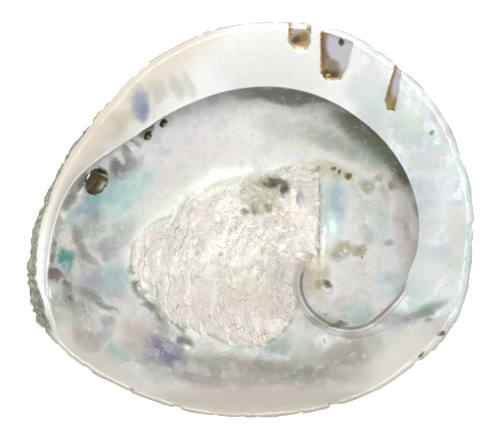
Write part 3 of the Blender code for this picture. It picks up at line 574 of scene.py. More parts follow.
def section(turn):
    """The wall's outline on one side of the apex, in two runs that meet at the rim.

    The rows are (radius about the apex, height, spacing wanted there, 1 on the shelf's
    face, 1 outside, 1 where painted shade darkens the shelf's free edge and the hook's
    rim), with the numbers of the rows that a point must meet.
    """
    along = (math.cos(math.radians(turn)), math.sin(math.radians(turn)))
    silhouette = float(np.interp(turn, *RIM_FROM_APEX, period=360))
    bulge = float(np.interp(turn % 360, CRUST_TURNS, CRUST_BULGE, left=0, right=0))
    rim = silhouette - bulge
    middle_angle = math.degrees(math.atan2(APEX[1] + rim * along[1], APEX[0] + rim * along[0]))
    columellar = float(smoothstep(0.0, 0.5, margin_share(middle_angle)))
    wall = LIP_WALL + (MARGIN_WALL - LIP_WALL) * columellar
    drop = LIP_DROP + (MARGIN_DROP - LIP_DROP) * columellar
    opening = rim - wall
    rows = []
    edges = []
    carried = [(0.0, 0.0, 1.0)]

    def floor(radius):
        amount, start, width = carried[-1]
        fade = 1 - smoothstep(0, 1, (np.asarray(radius, float) - start) / width)
        radius = radius + bulge * smoothstep(0.7, 1.0, radius / opening)
        x, y = APEX[0] + radius * along[0], APEX[1] + radius * along[1]
        return floor_height(x, y, wall) + amount * fade

    def add(radius, height, spacing, shelf=0.0, outside=0.0, edge_shade=0.0):
        columns = np.broadcast_arrays(radius, height, spacing, shelf, outside, edge_shade)
        rows.append(np.column_stack(columns))

    start = 0.0
    shelf_left = 0.0
    for fold_turn in (turn, turn + 360):
        if not SHELF[0][0] <= fold_turn <= SHELF[-1][0]:
            continue
        strength = shelf_strength(fold_turn)
        edge, edge_z, root, root_z, hollow, fall = shelf_at(fold_turn)
        root = min(root, opening)
        edge = min(edge, root - 0.4)
        edge_z = floor(edge) + strength * (edge_z - floor(edge))
        root_z = floor(root) + strength * (root_z - floor(root))
        hollow = max(strength * min(hollow, root - edge - 2.0), 0.0)
        white = strength * float(smoothstep(*WHITE_FROM, fold_turn))
        hook = strength * float(1 - smoothstep(345, 385, fold_turn))

        def top(radius):
            t = (radius - edge) / (root - edge)
            return edge_z + (root_z - edge_z) * t + strength * SHELF_CROWN * 4 * t * (1 - t)

        def underside(radius):
            return top(radius) - strength * (EDGE_WALL + WALL_GAIN * (radius - edge))

        radius = np.linspace(edge, edge + hollow, 60)
        crowded = underside(radius) - floor(radius) < LEAST_GAP
        reach = radius[crowded.argmax()] if crowded.any() else edge + hollow
        radius = np.linspace(start, reach, 140)
        rise_width = min(9.0, 0.6 * (reach - start))
        rise = np.clip((radius - reach + rise_width) / rise_width, 0, 1)
        rise = strength * (1 - np.sqrt(1 - 0.999 * rise**2)) + (1 - strength) * rise**2
        height = floor(radius) + rise * (underside(reach) - floor(reach))
        add(radius, height, 5.0, shelf_left * (1 - smoothstep(0, 6, radius - start)))
        radius = np.linspace(reach, edge, 30)[1:]
        # painted shade on the shelf's underside, next to its free edge
        shade = strength * np.exp(-(((radius - edge) / 1.3) ** 2))
        add(radius, underside(radius), np.where(radius < edge + 3, 1.6, 5.0), edge_shade=shade)
        half = strength * EDGE_WALL / 2
        around = np.radians(np.linspace(-90, -270, 15))[1:]
        edges.append(sum(len(run) for run in rows) + len(around) // 2 - 1)
        # painted shade round the free edge itself, kept on its top only along the hook
        add(
            edge + half * np.cos(around), edge_z - half + half * np.sin(around), 1.2,
            white * np.linspace(0.1, 1, len(around)), 0.0,
            np.linspace(strength, 0.8 * hook, len(around)),
        )  # fmt: skip
        radius = np.linspace(edge, root, 80)[1:]
        # painted shade on the hook's top: along the free edge and in a thin ring just inside it
        ring = hook * np.exp(-(((radius - edge - 1.5) / 0.45) ** 2))
        add(
            radius, top(radius), np.where(radius < edge + 3, 1.6, 4.0), white, 0.0,
            np.maximum(0.8 * hook * np.exp(-(((radius - edge) / 0.5) ** 2)), 0.6 * ring),
        )  # fmt: skip
        carried.append((root_z - floor(root), root, fall))
        start, shelf_left = root, white
    if opening - start > 0.05:
        radius = np.linspace(start, opening, 140)[1:]
        add(radius, floor(radius), 5.0, shelf_left * (1 - smoothstep(0, 6, radius - start)))
    crest_from = rows[-1][-1, 1]
    on_shelf = rows[-1][-1, 3]
    around = np.linspace(0, 1, 12)[1:]
    crest_radius = opening + wall * (1 - np.cos(np.pi * around)) / 2
    crest_height = crest_from * (1 - around) - drop * around
    crest_height = crest_height + (0.35 + 0.3 * drop) * np.sin(np.pi * around)
    add(crest_radius, crest_height, 3.0, on_shelf, smoothstep(0.7, 1.0, around))
    inner_rows = np.vstack(rows)
    rows.clear()
    share = np.linspace(1, 0, 220)
    radius = rim * share
    widest = 1 - 0.01 * bulge
    swell = (silhouette - rim * widest) * np.where(
        share < widest,
        np.exp(-(((share - widest) / 0.05) ** 2)),
        1 - (np.maximum(share - widest, 0) / (1.0001 - widest)) ** 2,
    )
    x, y = APEX[0] + radius * along[0], APEX[1] + radius * along[1]
    height = outer_height(x, y) - drop * smoothstep(0.75, 1, share)
    add(radius + swell, height, np.where(share > 0.86, 3.4, 5.0), 0.0, 1.0)
    sutures = [float(whorl_radius(turn % 360 - 360 * k)) for k in (0, 1)]
    marks = [int(np.abs(radius - r).argmin()) for r in sutures if 4 < r < rim - 6]
    return (inner_rows, edges), (np.vstack(rows), marks)


def spread(rows, count, keep):
    """That many rows evenly along a run, with one on each row to be kept."""
    step = np.hypot(np.diff(rows[:, 0]), np.diff(rows[:, 1])) / rows[1:, 2]
    at = np.concatenate([[0], np.cumsum(step)])
    unit = at[-1] / (count - 1)
    index = np.arange(count, dtype=float)
    shift = np.zeros(count)
    for row in keep:
        place = at[row] / unit
        nearby = np.clip(1 - np.abs(index - round(place)) / SNAP_SPAN, 0, 1)
        shift += (place - round(place)) * nearby
    wanted = np.clip(index + shift, 0, count - 1) * unit
    return np.column_stack([np.interp(wanted, at, rows[:, k]) for k in (0, 1, 3, 4, 5)])


def meridian_turns(count):
    """Turn angles of the meridians, closer together where the rim is far away."""
    angle = np.linspace(0, 360, 1441)
    weight = np.interp(angle, *RIM_FROM_APEX, period=360) ** CROWDING
    total = np.concatenate([[0], np.cumsum((weight[1:] + weight[:-1]) / 2)])
    return np.interp(np.arange(count) / count, total / total[-1], angle)


# --- relief -----------------------------------------------------------------------------
def speckle(points, octaves=3):
    """Fractal noise at each point, about -1 to 1."""
    return np.array([noise.fractal(p, 0.8, 2.1, octaves) for p in points.tolist()])


def oval(x, y, mark):
    """0 in the middle of a tilted ellipse, 1 on its outline."""
    cx, cy, half_length, half_width, tilt = mark[:5]
    c, s = math.cos(math.radians(tilt)), math.sin(math.radians(tilt))
    u = (x - cx) * c + (y - cy) * s
    v = -(x - cx) * s + (y - cy) * c
    return np.hypot(u / half_length, v / half_width)


def sides(corners):
    """Each side of a convex outline: the inward direction across it, and a corner on it."""
    pairs = list(zip(corners, corners[1:] + corners[:1], strict=True))
    turning = math.copysign(1, sum(a[0] * b[1] - a[1] * b[0] for a, b in pairs))
    for (ax, ay), (bx, by) in pairs:
        length = math.hypot(bx - ax, by - ay)
        yield -turning * (by - ay) / length, turning * (bx - ax) / length, ax, ay


def into_polygon(x, y, corners):
    """Distance inside a convex outline, negative outside it."""
    across = [nx * (x - ax) + ny * (y - ay) for nx, ny, ax, ay in sides(corners)]
    return np.min(across, axis=0)


def flow_coordinates(x, y):
    """Places along and across the growth lines of the scar, in millimetres."""
    dx, dy = x - FLOW_CENTRE[0], y - FLOW_CENTRE[1]
    return np.degrees(np.arctan2(-dy, -dx)), np.hypot(dx, dy)


def bowl_relief(x, y, shelf, sizes):
    """Height of the fine relief on the bowl's floor, along the normal."""
    flat = np.column_stack([x, y, np.zeros(len(x))])
    relief = 0.30 * speckle(flat / 15.0, 2)
    scar = scar_tint(x, y)
    angle, radius = flow_coordinates(x, y)
    bend = 2.2 * speckle(flat / 11.0 + 7.0, 2)
    lines = np.column_stack([(radius + bend) / 1.9, angle / 13.0, np.zeros(len(x))])
    broad = np.column_stack([(radius + bend) / 4.4, angle / 24.0, np.full(len(x), 3.0)])
    relief += sizes.scar_relief / MM * scar * (0.55 * speckle(lines, 3) + 0.75 * speckle(broad, 2))
    crater = np.clip(1.25 - oval(x, y, (4.2, 8.6, 9.0, 10.4, 20)), 0, 1)
    knobs = np.abs(speckle(flat / 2.6 + 31.0, 3))
    relief += smoothstep(0, 0.5, crater) * (2.1 * knobs - 1.15)
    for mark in BOWL_MARKS:
        relief += mark[5] * (1 - smoothstep(0.15, 1.25, oval(x, y, mark)))
    teeth = np.exp(-(((x - SCAR_EDGE_X) / 1.2) ** 2))
    teeth = teeth * smoothstep(-14, -9, y) * smoothstep(14, 8, y)
    relief += 0.5 * teeth * np.sin(y * 4.2 + 1.5 * speckle(flat / 3.0, 1))
    return relief * (1 - shelf)


def shelf_relief(x, y, shelf, sizes):
    """Height of the fine relief on the shelf's face, windows included."""
    flat = np.column_stack([x, y, np.zeros(len(x))])
    angle = np.arctan2(y - APEX[1], x - APEX[0])
    radius = np.hypot(x - APEX[0], y - APEX[1])
    streaks = np.column_stack([angle * 46.0, radius / 60.0, np.zeros(len(x))])
    relief = 0.16 * speckle(flat / 18.0 + 5.0, 2) + 0.10 * speckle(streaks, 2)
    ragged = 0.55 * speckle(flat / 2.2 + 3.0, 2)
    for corners in WINDOWS:
        worn = smoothstep(-0.1, 1.0, into_polygon(x, y, corners) + ragged)
        relief -= sizes.window_depth / MM * worn
    crease = oval(x, y, (61.0, -39.0, 14.0, 2.2, 38))
    relief -= 0.7 * (1 - smoothstep(0.2, 1.3, crease))
    return relief * shelf


def dorsal_relief(x, y, sizes):
    """Height of growth ridges, spiral cords, sealed holes and crust on the outside."""
    flat = np.column_stack([x, y, np.zeros(len(x))])
    turn, share, _ = whorl_place(x, y)
    radius = np.hypot(x - APEX[0], y - APEX[1])
    size = np.clip(radius / 60.0, 0.12, 1.0)
    wander = 3.0 * speckle(flat / 20.0, 2)
    growth = turn + 26.0 * share + wander
    ridges = np.column_stack([growth / 2.4, share * 1.5, np.zeros(len(x))])
    folds = np.column_stack([growth / 11.0, share * 0.9, np.full(len(x), 4.0)])
    relief = sizes.ridge_height / MM * size * (0.6 * speckle(ridges, 3) + 1.3 * speckle(folds, 2))
    cords = np.cos(share * 2 * math.pi * CORDS + 0.8 * speckle(flat / 9.0, 2))
    relief += sizes.cord_height / MM * size * cords * smoothstep(0.04, 0.15, share)
    old_hole = (turn - OLD_HOLE_TURN) / OLD_HOLE_STEP
    nearest = (old_hole - np.round(old_hole)) * OLD_HOLE_STEP
    beyond_open = (np.round(old_hole) < 0) & (turn < 495)
    along = np.radians(nearest) * radius
    across = (share - KEEL_PLACE) * radius * 0.85
    away = np.hypot(along, across) / (4.4 * size + 0.2)
    crater = 1.3 * np.exp(-(((away - 0.95) / 0.4) ** 2)) - 1.1 * np.exp(-((away / 0.55) ** 2))
    relief += np.where(beyond_open, crater * size, 0)
    for hole_turn, hole_share, hole_radius in HOLES:
        place = outside_point(hole_turn, hole_share)[0]
        from_hole = np.hypot(x - place.x, y - place.y) / (hole_radius + 1.6)
        relief += 0.5 * hole_radius * (1 - smoothstep(0.85, 1.6, from_hole))
    return relief


def crust_cover(x, y):
    """1 on the crusted left side of the outside, fading inland."""
    angle, radius, rim = about_middle(x, y)
    angle = angle % 360
    band = smoothstep(138, 160, angle) * (1 - smoothstep(204, 213, angle))
    return band * smoothstep(0.80, 0.97, radius / rim)


def crust_relief(x, y, z, sizes):
    solid = np.column_stack([x, y, z])
    knobs = np.abs(speckle(solid / 3.4, 3)) - 0.25
    pits = speckle(solid / 1.5 + 9.0, 2)
    lump = 1 - smoothstep(0.2, 1.2, oval(x, y, (-79.4, -36.4, 4.6, 5.4, 30)))
    return sizes.crust_height / MM * crust_cover(x, y) * (1.2 * knobs + 0.35 * pits) + 0.9 * lump


# --- the piece --------------------------------------------------------------------------
def skin_rows(sizes):
    """Every meridian's rows, and the turn angles of the meridians."""
    turns = meridian_turns(sizes.meridians)
    lines = []
    for turn in turns:
        inside, outside = section(turn)
        inner = spread(inside[0], sizes.inner_stations, inside[1])
        outer = spread(outside[0], sizes.outer_stations + 1, outside[1])
        lines.append(np.vstack([inner, outer[1:]]))
    return turns, np.array(lines)


def vertex_places(mesh):
    co = np.empty(len(mesh.vertices) * 3)
    mesh.vertices.foreach_get("co", co)
    return co.reshape(-1, 3)


def set_attribute(mesh, name, values):
    attribute = mesh.attributes.new(name, "FLOAT_VECTOR", "POINT")
    attribute.data.foreach_set("vector", np.asarray(values, np.float32).ravel())


def grow_skin(sizes):
    """A sphere whose meridians are laid along the wall's cross-sections, then carved."""
    turns, lines = skin_rows(sizes)
    spans = sizes.inner_stations + sizes.outer_stations - 1
    bm = bmesh.new()
    bmesh.ops.create_uvsphere(bm, u_segments=sizes.meridians, v_segments=spans, radius=1)
    mesh = bpy.data.meshes.new("abalone_shell")
    bm.to_mesh(mesh)
    bm.free()
    co = vertex_places(mesh)
    share = np.arctan2(co[:, 1], co[:, 0]) / (2 * math.pi)
    around = np.round(share * sizes.meridians).astype(int) % sizes.meridians
    down = np.round(np.arccos(np.clip(co[:, 2], -1, 1)) / math.pi * spans).astype(int)
    radius, height, shelf, outside, edge_shade = lines[around, down].T
    a = np.radians(turns[around])
    co = np.column_stack([APEX[0] + radius * np.cos(a), APEX[1] + radius * np.sin(a), height])
    mesh.vertices.foreach_set("co", co.ravel())
    mesh.update()
    co = carved(mesh, co, shelf, outside, sizes)
    mesh.vertices.foreach_set("co", (co * MM).ravel())
    mesh.update()
    shell = bpy.data.objects.new("abalone_shell", mesh)
    bpy.context.scene.collection.objects.link(shell)
    return shell, co, np.column_stack([shelf, outside, edge_shade])


def carved(mesh, co, shelf, outside, sizes):
    """The vertices moved along their normals by the relief of the zone they lie in."""
    normal = np.empty(len(co) * 3)
    mesh.vertex_normals.foreach_get("vector", normal)
    normal = normal.reshape(-1, 3)
    x, y, z = co.T
    facing_up = smoothstep(-0.1, 0.35, normal[:, 2])
    inner = (1 - outside) * facing_up
    relief = inner * (bowl_relief(x, y, shelf, sizes) + shelf_relief(x, y, shelf, sizes))
    relief += outside * (dorsal_relief(x, y, sizes) + crust_relief(x, y, z, sizes))
    rim_share = np.hypot(x, y) / about_middle(x, y)[2]
    lip = smoothstep(0.955, 0.995, rim_share)
    chips = np.column_stack([x, y, np.zeros(len(x))])
    notches = np.clip(speckle(chips / 4.2 + 17.0, 3) - 0.16, 0, 1)
    waves = 0.4 * speckle(chips / 9.0 + 23.0, 2)
    inward = sizes.lip_wear / MM * lip * (waves - 2.6 * notches)
    away = np.column_stack([x, y, np.zeros(len(x))]) / np.maximum(np.hypot(x, y), 1)[:, None]
    relief = relief * (1 - 0.75 * lip * (1 - crust_cover(x, y)))
    return co + normal * relief[:, None] + away * inward[:, None]


def place_attributes(mesh, skin, skin_zones):
    """What the finish needs to know about each place, read from the nearest of the skin."""
    co = vertex_places(mesh) / MM
    tree = KDTree(len(skin))
    for number, place in enumerate(skin.tolist()):
        tree.insert(place, number)
    tree.balance()
    nearest = [tree.find(place)[1] for place in co.tolist()]
    shelf, outside, edge_shade = skin_zones[nearest].T
    bore = np.zeros(len(co))
    for turn, share, radius in HOLES:
        place, normal = (np.array(part) for part in outside_point(turn, share))
        from_place = co - place
        off_axis = np.linalg.norm(from_place - np.outer(from_place @ normal, normal), axis=1)
        inside_bar = (off_axis < radius * 1.22) & (np.abs(from_place @ normal) < 7)
        bore = np.maximum(bore, inside_bar)
    x, y, z = co.T
    turn, share, _ = whorl_place(x, y)
    angle, radius = flow_coordinates(x, y)
    scar = scar_tint(x, y) * (1 - shelf) * (1 - outside)
    crust = crust_cover(x, y)
    hide = outside * np.maximum(smoothstep(-1.5, -6.0, z), crust)
    # zones: outside, shelf, and where painted shade darkens the shelf's free edge
    set_attribute(mesh, "zones", np.column_stack([outside, shelf, edge_shade]))
    set_attribute(mesh, "covers", np.column_stack([scar, bore, hide]))
    set_attribute(mesh, "whorl", np.column_stack([turn / 10, share * 10, crust]))
    rim_share = np.hypot(x, y) / about_middle(x, y)[2]
    set_attribute(mesh, "flow", np.column_stack([radius, angle, rim_share]))


def outside_point(turn, share):
    """A point on the outside, by its place in the whorl, and the way a hole runs out there."""
    outer, inner = float(whorl_radius(turn)), float(whorl_radius(turn - 360))
    radius = inner * (outer / inner) ** share
    a = math.radians(turn)
    x, y = APEX[0] + radius * math.cos(a), APEX[1] + radius * math.sin(a)

    def height(px, py):
        return float(outer_height(np.array([px]), np.array([py]))[0])

    step = 2.0
    slope_x = (height(x + step, y) - height(x - step, y)) / (2 * step)
    slope_y = (height(x, y + step) - height(x, y - step)) / (2 * step)
    outward = Vector((HOLE_LEAN * slope_x, HOLE_LEAN * slope_y, -1)).normalized()
    return Vector((x, y, height(x, y))), outward


def hole_cutter(turn, share, radius):
    """A short, slightly ragged tapered bar through the wall, the way the hole runs."""
    place, normal = outside_point(turn, share)
    stand = Matrix.Translation(place * MM) @ normal.to_track_quat("Z", "Y").to_matrix().to_4x4()
    bm = bmesh.new()
    bmesh.ops.create_cone(
        bm, cap_ends=True, segments=HOLE_SIDES, radius1=radius * (1 + HOLE_FLARE) * MM,
        radius2=radius * (1 - HOLE_FLARE) * MM, depth=12 * MM,
    )  # fmt: skip
    for vert in bm.verts:
        lobe = math.atan2(vert.co.y, vert.co.x)
        vert.co.xy *= 1 + 0.06 * math.sin(3 * lobe + turn) + 0.03 * math.sin(5 * lobe)
    bmesh.ops.transform(bm, matrix=stand, verts=bm.verts)
    mesh = bpy.data.meshes.new(f"hole_cutter_{turn:.0f}")
    bm.to_mesh(mesh)
    bm.free()
    cutter = bpy.data.objects.new(mesh.name, mesh)
    bpy.context.scene.collection.objects.link(cutter)
    cutter.hide_render = True
    return cutter


def bored(shell):
    """The shell's mesh with the open breathing holes cut through."""
    cutters = [hole_cutter(*hole) for hole in HOLES]
    for cutter in cutters:
        modifier = shell.modifiers.new(cutter.name, "BOOLEAN")
        modifier.operation = "DIFFERENCE"
        modifier.object = cutter
    graph = bpy.context.evaluated_depsgraph_get()
    mesh = bpy.data.meshes.new_from_object(shell.evaluated_get(graph))
    shell.modifiers.clear()
    for cutter in cutters:
        bpy.data.objects.remove(cutter, do_unlink=True)
    return mesh


def settle(mesh):
    """Tips the mesh to its resting attitude, inside the frame's own box."""
    mesh.transform(Euler((math.radians(TIP[0]), math.radians(TIP[1]), 0)).to_matrix().to_4x4())
    co = vertex_places(mesh)
    low, high = (np.array(corner) for corner in CAD_BOX)
    middle = (co.min(axis=0) + co.max(axis=0)) / 2
    co -= (middle[0], middle[1], co[:, 2].max() - high[2])
    co[:, 2] = np.maximum(co[:, 2], low[2])
    mesh.vertices.foreach_set("co", co.ravel())
    mesh.update()


# --- the finish -------------------------------------------------------------------------
class Strand:
    """A socket in a material. Sums on it add the Math nodes that work them out."""

    def __init__(self, surface, socket):
        self.surface = surface
        self.socket = socket

    def sum(self, operation, *others):
        return self.surface.node(
            "ShaderNodeMath", {"operation": operation}, dict(enumerate((self, *others)))
        )

    def __add__(self, other):
        return self.sum("ADD", other)

    __radd__ = __add__

    def __mul__(self, other):
        return self.sum("MULTIPLY", other)

    __rmul__ = __mul__

    def __sub__(self, other):
        return self.sum("SUBTRACT", other)

    def __rsub__(self, other):
        return self.surface.node(
            "ShaderNodeMath", {"operation": "SUBTRACT"}, {0: other, 1: self}
        )

    def most(self, other):
        return self.sum("MAXIMUM", other)

    def off(self, level):
        """How far it is from a level, either way."""
        return (self - level).sum("ABSOLUTE")


class Surface:
    """A material being made, node by node."""

    def __init__(self, name):
        self.material = bpy.data.materials.new(name)
        self.material.use_nodes = True
        self.tree = self.material.node_tree
        self.shader = self.tree.nodes["Principled BSDF"]

    def node(self, kind, settings=None, sockets=None, output=0):
        """Adds a node. Its settings are set first, then its sockets get values or links."""
        made = self.tree.nodes.new(kind)
        for name, value in (settings or {}).items():
            setattr(made, name, value)
        for key, value in (sockets or {}).items():
            self.feed(made.inputs[key], value)
        return Strand(self, made.outputs[output])

    def feed(self, socket, value):
        if isinstance(value, Strand):
            self.tree.links.new(value.socket, socket)
        else:
            socket.default_value = value

    def finish(self, **sockets):
        for name, value in sockets.items():
            self.feed(self.shader.inputs[name.replace("_", " ")], value)

    def attribute(self, name):
        """The three parts of an attribute, and the whole of it as a vector."""
        whole = self.node("ShaderNodeAttribute", {"attribute_name": name}, output="Vector")
        return (*(self.axis(whole, number) for number in range(3)), whole)

    def axis(self, place, number):
        """One of a vector's three numbers."""
        return self.node("ShaderNodeSeparateXYZ", sockets={0: place}, output=number)

    def mix(self, share, first, second, blend="MIX"):
        return self.node(
            "ShaderNodeMix", {"data_type": "RGBA", "blend_type": blend},
            {0: share, 6: first, 7: second}, output=2,
        )  # fmt: skip

    def vector(self, operation, first, second):
        return self.node("ShaderNodeVectorMath", {"operation": operation}, {0: first, 1: second})

    def noise(self, place, scale, detail=3.0, roughness=0.55, output="Fac"):
        return self.node(
            "ShaderNodeTexNoise", sockets={
                "Vector": place, "Scale": scale, "Detail": detail, "Roughness": roughness,
            }, output=output,
        )  # fmt: skip

    def between(self, value, low, high, low_level=0.0, high_level=1.0):
        return self.node(
            "ShaderNodeMapRange", {"interpolation_type": "SMOOTHSTEP"},
            {0: value, 1: low, 2: high, 3: low_level, 4: high_level},
        )  # fmt: skip

    def along(self, place, direction):
        """How far a place lies along a direction."""
        return self.node(
            "ShaderNodeVectorMath", {"operation": "DOT_PRODUCT"}, {0: place, 1: direction}, "Value"
        )

    def three(self, colour):
        """The three channels of a colour, each a field of its own."""
        return [
            self.node("ShaderNodeSeparateColor", sockets={0: colour}, output=k) for k in range(3)
        ]

    def net(self, place, scale):
        """Patches of a net of cells: three random picks of them, each crisp at its edge."""
        made = self.node(
            "ShaderNodeTexVoronoi", {"feature": "F1"}, {"Vector": place, "Scale": scale}, "Color"
        )
        inward = self.between(Strand(self, made.socket.node.outputs["Distance"]), 0.75, 0.4)
        return [self.between(tone, 0.55, 0.95) * inward for tone in self.three(made)]

    def stains_and_painted_light(self, ground, place, stains_and_painted_light):
        """The ground colour with each oval laid over it in turn: stain colours, and in the bowl
        painted shade and painted highlights too.

        The ovals are gathered first and laid on the ground as one layer, which keeps
        few values waiting at a time: a renderer holds only so many.
        """
        tint = paint(*stains_and_painted_light[0][-1])
        bare = 1.0
        for x, y, half_length, half_width, tilt, softness, strength, colour in stains_and_painted_light:
            c, s = math.cos(math.radians(tilt)), math.sin(math.radians(tilt))
            away = self.vector("SUBTRACT", place, (x, y, 0))
            u = self.along(away, (c / half_length, s / half_length, 0))
            v = self.along(away, (-s / half_width, c / half_width, 0))
            square = u.sum("MULTIPLY_ADD", u, v * v)
            low, high = max(0, 1 - softness) ** 2, (1 + softness) ** 2
            left = self.between(square, low, high, max(1 - 1.15 * strength, 0.02), 1.0)
            tint = self.mix(left, paint(*colour), tint)
            bare = left * bare
        return self.mix(bare, tint, ground)


def paint(red, green, blue):
    """A colour given as painted, 0 to 255, for a shader."""
    linear = [
        c / 12.92 if c <= 0.04045 else ((c + 0.055) / 1.055) ** 2.4
        for c in (red / 255, green / 255, blue / 255)
    ]
    return (*linear, 1.0)


def shell_finish(colours):
    """Pearl inside, cream lip, amber windows, and a rough banded crust outside."""
    s = Surface("nacre")
    object_place = s.node("ShaderNodeTexCoord", output="Object")
    place = s.vector("MULTIPLY", object_place, (1000, 1000, 1000))
    outside, shelf, edge_shade, _ = s.attribute("zones")
    scar, bore, hide_cover, _ = s.attribute("covers")
    _, share, crust, whorl = s.attribute("whorl")
    _, _, rim_share, flow = s.attribute("flow")
    shade_band = s.between(rim_share, 0.50, 0.78) * s.between(rim_share, 0.96, 0.84)

    # pearl: milky ground with faint pink, blue, green and cream clouds
    drift = s.noise(place, 0.09, 3.0, 0.6, "Color")
    drift = s.vector("SUBTRACT", drift, (0.5, 0.5, 0.5))
    warped = s.vector("ADD", place, s.vector("MULTIPLY", drift, (7.0, 7.0, 0.0)))
    ragged = s.noise(place, 0.9, 2.0, 0.6, "Color")
    ragged = s.vector("SUBTRACT", ragged, (0.5, 0.5, 0.5))
    warped = s.vector("ADD", warped, s.vector("MULTIPLY", ragged, (1.6, 1.6, 0.0)))

    clouds = s.three(s.noise(warped, 0.050, 4.0, 0.6, "Color"))
    puffs = s.three(s.noise(warped, 0.105, 4.0, 0.6, "Color"))
    patches = s.net(warped, 0.085)
    flecks = s.net(warped, 0.19)
    grains = s.three(s.noise(place, 0.40, 5.0, 0.65, "Color"))
    pearl = (*colours.pearl, 1.0)
    for field, tint, amount in (
        (clouds[0], paint(232, 220, 227), 0.9), (clouds[1], paint(204, 218, 225), 0.85),
        (clouds[2], paint(210, 223, 213), 0.75), (puffs[0], paint(230, 219, 203), 0.8),
        (puffs[1], paint(192, 192, 188), 0.6),
    ):
        pearl = s.mix(s.between(field, 0.46, 0.64, 0.0, amount), pearl, tint)
    for field, tint in zip(
        patches, (paint(152, 154, 146), paint(164, 190, 186), paint(176, 162, 172)), strict=True
    ):
        pearl = s.mix(field * shade_band, pearl, tint)
    # the bowl's ovals: stain colours, with painted shade, painted shadow and painted highlights
    # among them
    bowl = s.stains_and_painted_light(pearl, warped, BOWL_STAINS_AND_PAINTED_LIGHT)
    bowl = s.mix(flecks[0] * 0.30, bowl, paint(238, 236, 232))
    bowl = s.mix(flecks[1] * (0.10 + 0.22 * shade_band), bowl, paint(136, 132, 122))
    mottle = s.between(grains[0], 0.50, 0.72, 0.0, 0.34)
    bowl = s.mix(mottle, bowl, paint(180, 178, 170))
    bowl = s.mix(s.between(grains[1], 0.54, 0.7, 0, 0.45), bowl, paint(240, 238, 234))

    # muscle scar: warm chalky white, combed along the growth lines
    combed = s.vector("MULTIPLY", flow, (1.0, 0.11, 1.0))
    combed = s.vector("ADD", combed, s.vector("MULTIPLY", drift, (9.0, 0.6, 0.0)))
    combed = s.vector("ADD", combed, s.vector("MULTIPLY", ragged, (0.8, 0.0, 0.0)))
    strokes = s.noise(combed, 0.44, 4.0, 0.58)
    fine_strokes = s.noise(combed, 1.0, 3.0, 0.55)
    chalk = s.mix(s.between(strokes, 0.36, 0.60), paint(228, 219, 212), paint(249, 242, 236))
    for lines, thickness, amount in ((strokes, 0.022, 0.85), (fine_strokes, 0.016, 0.55)):
        thread = s.between(lines.off(0.53), 0.0, thickness, amount, 0.0)
        chalk = s.mix(thread, chalk, paint(142, 130, 120))
    vein = s.between(s.noise(warped, 0.24, 5.0, 0.7).off(0.5), 0.0, 0.03, 0.6, 0.0)
    chalk = s.mix(vein, chalk, paint(186, 176, 152))
    chalk = s.mix(s.between(puffs[2], 0.5, 0.64, 0.0, 0.6), chalk, paint(240, 226, 228))
    chalk = s.stains_and_painted_light(chalk, warped, SCAR_STAINS)
    rim_of_scar = s.between(scar, 0.05, 0.45) * s.between(scar, 0.95, 0.5)
    chalk = s.mix(rim_of_scar * s.between(strokes, 0.56, 0.44), chalk, paint(140, 136, 124))
    inside_colour = s.mix(scar, bowl, chalk)

    # shelf: brilliant white at the top, bluish to the right, cream to the left
    x_place, y_place = (s.axis(warped, number) for number in range(2))
    ledge = s.mix(s.between(x_place, 30, 66), paint(253, 254, 253), paint(228, 233, 236))
    to_left = s.between(x_place - y_place * 0.9, -62, -84)
    ledge = s.mix(to_left, ledge, (*colours.cream, 1.0))
    angle_streaks = s.vector("MULTIPLY", whorl, (9.0, 0.22, 0.0))
    angle_streaks = s.vector("ADD", angle_streaks, s.vector("MULTIPLY", drift, (3.0, 3.0, 0.0)))
    streaks = s.noise(angle_streaks, 0.8, 4.0, 0.6)
    ledge = s.mix(s.between(streaks, 0.50, 0.72, 0.0, 0.22), ledge, paint(206, 214, 222))
    right = s.between(x_place, 26, 58)
    for field, tint, amount in (
        (puffs[2], paint(198, 206, 226), 0.75), (puffs[0], paint(196, 222, 214), 0.7),
        (puffs[1], paint(250, 251, 251), 0.8), (grains[2], paint(212, 205, 222), 0.5),
    ):
        ledge = s.mix(s.between(field, 0.53, 0.62, 0.0, amount) * right, ledge, tint)
    ledge = s.stains_and_painted_light(ledge, warped, SHELF_STAINS)
    inside_colour = s.mix(s.between(shelf, 0.2, 0.8), inside_colour, ledge)
    # painted shade along the shelf's free edge and on the hook's edge
    inside_colour = s.mix(s.between(edge_shade, 0.25, 0.8, 0.0, 0.8), inside_colour, paint(128, 116, 98))
    inside_colour = s.stains_and_painted_light(inside_colour, warped, LIP_STAINS)
    lip_line = s.between(rim_share, 0.983, 0.997, 0.0, 0.6)
    inside_colour = s.mix(lip_line, inside_colour, paint(180, 172, 156))

    # amber: the horny layer laid bare in the worn windows; inside the open holes, horn brown
    # darkened with painted shade
    amber = amber_windows(s, place, ragged, colours)
    inside_colour = s.mix(amber[0] * shelf, inside_colour, amber[1])
    # inside the open holes: horn brown mottled with near-black painted shade
    bore_horn_and_shade = s.mix(s.noise(place, 0.5, 4.0), paint(34, 24, 6), paint(104, 74, 18))

